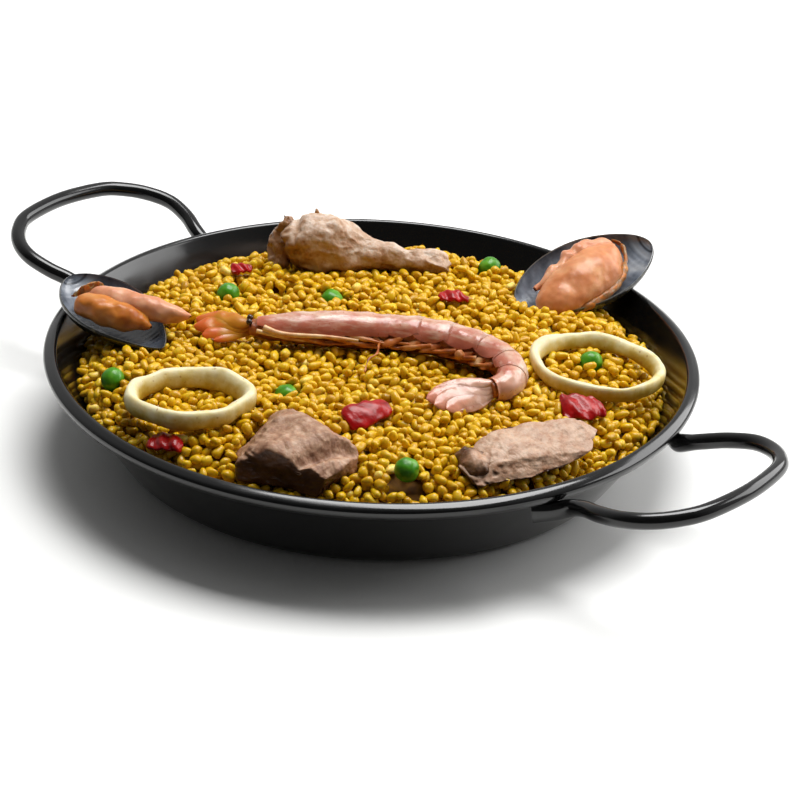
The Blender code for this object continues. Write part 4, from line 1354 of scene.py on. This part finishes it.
def make_pork():
    material = meat_material(
        "braised pork", [(0.25, "#6A4630"), (0.42, "#8C6248"), (0.58, "#A67E62"), (0.78, "#C4A288")],
        [(0.3, "#4A2C18"), (0.55, "#6A452C"), (0.8, "#8A5E3C")], 0.5)
    bm = sculpt_copy("pork_piece")
    start, end = (Vector(point) * MM for point in PORK_GROOVE)
    way = (end - start).normalized()
    length = (end - start).length
    for vert in bm.verts:
        offset = Vector((vert.co.x, vert.co.y, 0)) - start
        aside = (offset - way * offset.dot(way)).length
        beyond = max(0, abs(offset.dot(way) / length - 0.5) - 0.5) * length
        upper = clamp((vert.co.z - 36 * MM) / (5 * MM))
        vert.co.z -= 3.0 * MM * bell(aside, 2.0 * MM) * bell(beyond, 5 * MM) * upper
        from_lobe = (vert.co - PORK_LOBE).length
        vert.co += (vert.co - PORK_LOBE).normalized() * 1.2 * MM * bell(from_lobe, 7 * MM)
    fibres(bm, PORK_GRAIN, 3.2, 0.28)
    fibres(bm, PORK_GRAIN, 1.4, 0.12)
    roughen(bm, [(11, 1.3), (4.5, 0.4), (1.6, 0.12)])
    # Painted shade: faces turned towards the camera and to the left, and faces that look down, take
    # the dark glazed colour; the patch round the lobe is its own colour.
    front = turned(-0.2, -1, 0).normalized()
    left = turned(-1, 0.1, 0).normalized()
    paint(bm, "glaze_and_painted_shade", lambda vert: 1.5 * (vert.normal.dot(front) * 0.9
          + max(vert.normal.dot(left), 0) * 0.6 - 0.25 - 0.7 * vert.normal.z)
          + 0.8 * bell((vert.co - PORK_LOBE).length, 6 * MM))
    # Painted light: faces that look up are paler.
    paint(bm, "pale", lambda vert: 0.35 + 0.5 * vert.normal.z
          + 0.3 * noise.noise(vert.co / (8 * MM)))
    add_piece("pork_flesh", bm, material, ["pork_piece"])


def make_chicken_piece():
    material = meat_material(
        "fried chicken skin", [(0.25, "#7E4424"), (0.38, "#A27454"), (0.52, "#B68E72"),
                               (0.75, "#CCAC92")],
        [(0.3, "#2E1A0C"), (0.55, "#55351E"), (0.8, "#8A6242")], 0.42)
    bm = sculpt_copy("chicken_piece")
    left = turned(-1, -0.6, 0).normalized()
    roughen(bm, [(9, 1.0), (3.6, 0.35)])
    bm.normal_update()
    for vert in bm.verts:                # the pores that the feathers left
        pore = noise.noise(vert.co / (2.1 * MM))
        vert.co -= vert.normal * 0.4 * MM * max(pore - 0.12, 0) / 0.5
    roughen(bm, [(1.2, 0.12)])
    # Painted shade: the left side, faces that look down and the low parts by the rice take the dark
    # glazed colour.
    paint(bm, "glaze_and_painted_shade", lambda vert: 1.1 * vert.normal.dot(left) - 1.1 * vert.normal.z + 0.35
          + 0.7 * clamp((36 * MM - vert.co.z) / (4 * MM)))
    # Painted light: faces that look up are paler.
    paint(bm, "pale", lambda vert: 0.4 + 0.4 * vert.normal.z + 0.35 * noise.noise(
        vert.co / (9 * MM)) + 0.25 * bell(vert.normal.z - 0.35, 0.25))
    add_piece("chicken_skin", bm, material, ["chicken_piece"])

    bm = bmesh.new()                     # the joint's end, with its gristle
    loft(bm, [(74.6, -40.4, 37.6, 0.2, 0.2), (76.4, -40.6, 37.4, 3.6, 3.4),
              (79.6, -41.0, 37.0, 5.0, 4.6), (83.4, -41.4, 36.6, 5.2, 4.6),
              (87.2, -41.6, 36.0, 4.4, 3.8), (90.0, -41.6, 35.6, 0.2, 0.2)], 60, 60)
    close(bm)
    roughen(bm, [(6, 1.4), (2.4, 0.6), (1.1, 0.2)])
    gristle = Vector((84.6, -42.6, 39.6)) * MM
    paint(bm, "glaze_and_painted_shade", lambda vert: 0.95 - 1.4 * bell((vert.co - gristle).length, 4 * MM))
    paint(bm, "pale", lambda vert: 0.2 + 0.8 * bell((vert.co - gristle).length, 4 * MM))
    add_piece("chicken_joint_end", bm, material)


DRUMETTE = [                         # x, y, height of the middle; half width, half height in mm
    (-75.2, 33.4, 44.0, 0.3, 0.3), (-74.4, 34.0, 44.2, 4.8, 5.6), (-72.4, 35.2, 44.8, 8.4, 9.0),
    (-68.8, 37.8, 45.4, 10.8, 11.0), (-64.4, 41.2, 45.4, 11.4, 11.4), (-59.6, 44.8, 44.8, 10.4, 10.6),
    (-54.0, 49.0, 43.4, 7.8, 8.4), (-48.6, 53.2, 42.2, 6.0, 6.6), (-43.0, 57.2, 41.4, 5.0, 5.4),
    (-37.4, 61.2, 41.0, 4.5, 4.8), (-32.2, 65.0, 40.8, 4.6, 4.6), (-28.0, 68.0, 40.6, 4.8, 4.4),
    (-24.6, 70.4, 40.4, 4.0, 3.6), (-23.0, 71.6, 40.4, 0.3, 0.3),
]


def make_drumette():
    material = meat_material(
        "drumette", [(0.25, "#8A5C3A"), (0.38, "#AC8464"), (0.52, "#BE9E84"), (0.72, "#D6C2B0")],
        [(0.3, "#6B4424"), (0.55, "#94693F"), (0.8, "#B48A60")], 0.45)

    def folds(angle, share):
        top = max(math.sin(angle), 0)
        collar = 1 - 0.13 * bell(share - 0.20, 0.022) * (0.4 + 0.6 * top)
        ridge = 1 + 0.05 * math.sin(3 * angle + 6 * share) * bell(share - 0.35, 0.25)
        return collar * ridge
    bm = bmesh.new()
    loft(bm, DRUMETTE, 120, 190, folds)
    close(bm)
    fibres(bm, (0.8, 0.6, 0), 4.5, 0.6, 3)
    roughen(bm, [(12, 1.6), (5, 0.9), (2.2, 0.35), (1.1, 0.12)])
    collar = Vector((-74.6, 33.4, 45.0)) * MM
    axis = Vector((0.8, 0.6, 0)).normalized()
    # Dark glazed colour: its own at the collar, painted shade on faces that look down.
    paint(bm, "glaze_and_painted_shade", lambda vert: 0.85 * bell((vert.co - collar).dot(axis), 4.2 * MM)
          - 0.95 * vert.normal.z + 0.28)
    # Painted light: faces that look up are paler.
    paint(bm, "pale", lambda vert: 0.35 + 0.4 * vert.normal.z
          + 0.5 * noise.noise(vert.co / (8 * MM)))
    add_piece("drumette_meat", bm, material, ["chicken_drumette"])

    bm = bmesh.new()                     # the cuff of skin and tendon at the thick end
    loft(bm, [(-77.6, 34.6, 55.6, 0.2, 0.2), (-76.8, 34.8, 53.0, 3.2, 2.4),
              (-76.2, 34.6, 49.0, 4.6, 3.4), (-76.6, 33.0, 44.0, 5.4, 3.6),
              (-76.0, 31.0, 40.0, 4.6, 3.4), (-74.0, 29.6, 36.6, 3.6, 3.0),
              (-72.4, 29.0, 34.6, 0.2, 0.2)], 60, 80)
    close(bm)
    roughen(bm, [(6, 1.6), (2.6, 0.9), (1.2, 0.3)])
    paint(bm, "glaze_and_painted_shade", lambda vert: 0.75 + 0.4 * noise.noise(vert.co / (5 * MM)))
    paint(bm, "pale", lambda vert: 0.5)
    add_piece("drumette_cuff", bm, material)

    bm = bmesh.new()                     # a torn tip standing on top
    limb(bm, [Vector(point) * MM for point in (
        (-68.6, 43.4, 54.4), (-68.4, 43.8, 56.2), (-69.6, 44.4, 57.6))], 1.6, 0.35)
    close(bm)
    roughen(bm, [(2, 0.4)])
    paint(bm, "glaze_and_painted_shade", lambda vert: 0.7)
    paint(bm, "pale", lambda vert: 0.5)
    add_piece("drumette_torn_tip", bm, material)


# ---- floor, light and camera ----

CAMERA_TURN = 39.4
CAMERA_RISE = 27.21
CAMERA_ROLL = 3.09
CAMERA_DISTANCE = 1.032
CAMERA_AIM = Vector((0.0, 0.0, 30 * MM))
AIM_SHIFT = (10.3 * MM, -12.7 * MM)  # across and up, as the camera sees it
CAMERA_LENS = 126

FRONT_GLOW = 0.05                    # of the room on the camera's side and behind the pan
BACK_GLOW = 0.55


def make_stage():
    bm = bmesh.new()
    bmesh.ops.create_grid(bm, x_segments=1, y_segments=1, size=6)
    mesh = bpy.data.meshes.new("floor")
    bm.to_mesh(mesh)
    bm.free()
    material, tree, _ = look("pale studio floor")
    shader = node(tree, "BsdfPrincipled", {
        "Base Color": "#FAFAF8", "Roughness": 0.7, "Specular IOR Level": 0.1})
    node(tree, "OutputMaterial", {"Surface": shader})
    mesh.materials.append(material)
    floor = bpy.data.objects.new("floor", mesh)
    bpy.context.scene.collection.objects.link(floor)

    world = bpy.data.worlds.new("studio")
    world.use_nodes = True
    tree = world.node_tree
    tree.nodes.clear()
    way = node(tree, "TexCoord", out="Generated")
    behind = node(tree, "VectorMath", {0: way, 1: turned(0.35, 0.94, 0)}, out="Value",
                  operation="DOT_PRODUCT")
    glow = node(tree, "MapRange", {"Value": behind, "From Min": -0.5, "From Max": 0.7,
                                   "To Min": FRONT_GLOW, "To Max": BACK_GLOW})
    light = node(tree, "Background", {"Color": (1, 1, 1, 1), "Strength": glow})
    node(tree, "OutputWorld", {"Surface": light})
    bpy.context.scene.world = world


def add_softbox(name, place, aim, size, power):
    light = bpy.data.lights.new(name, "AREA")
    light.shape = "RECTANGLE"
    light.size, light.size_y = size
    light.energy = power
    lamp = bpy.data.objects.new(name, light)
    lamp.location = place
    lamp.rotation_euler = (Vector(aim) - Vector(place)).to_track_quat("-Z", "Y").to_euler()
    bpy.context.scene.collection.objects.link(lamp)


def turned(x, y, z):
    """A place given as right of, behind and above the pan as the camera sees it."""
    return Matrix.Rotation(math.radians(CAMERA_TURN), 3, "Z") @ Vector((x, y, z))


def make_lights():
    add_softbox("overhead softbox", turned(0.15, 0.35, 1.25), (0, 0, 0), (0.9, 0.7), 20)
    add_softbox("side softbox", turned(0.95, 0.45, 0.62), (0, 0, 0.03), (1.1, 0.6), 8)


def make_camera():
    rise, roll = math.radians(CAMERA_RISE), math.radians(CAMERA_ROLL)
    right = Vector((1, 0, 0))
    up = Vector((0, math.sin(rise), math.cos(rise)))
    back = Vector((0, -math.cos(rise), math.sin(rise)))
    side = right * math.cos(roll) + up * math.sin(roll)
    top = up * math.cos(roll) - right * math.sin(roll)
    place = CAMERA_AIM + side * AIM_SHIFT[0] + top * AIM_SHIFT[1] + back * CAMERA_DISTANCE
    axes = Matrix((side, top, back)).transposed().to_4x4()
    data = bpy.data.cameras.new("camera")
    data.sensor_width = 36
    data.lens = CAMERA_LENS
    camera = bpy.data.objects.new("camera", data)
    turn = Matrix.Rotation(math.radians(CAMERA_TURN), 4, "Z")
    camera.matrix_world = turn @ Matrix.Translation(place) @ axes
    bpy.context.scene.collection.objects.link(camera)
    bpy.context.scene.camera = camera
    bpy.context.scene.view_settings.view_transform = "Standard"


def main():
    rng = np.random.default_rng(7)
    black = enamel()
    make_pan(black)
    make_handle("right", 0, black)
    make_handle("left", math.pi, black)
    toppings = [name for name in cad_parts
                if name not in ("pan", "handle_left", "handle_right", "rice")]
    make_rice(rng, toppings)
    make_squid(squid_material())
    make_peas(pea_material())
    make_peppers(pepper_material())
    make_mussels()
    make_prawn()
    make_pork()
    make_chicken_piece()
    make_drumette()
    make_stage()
    make_lights()
    make_camera()


main()
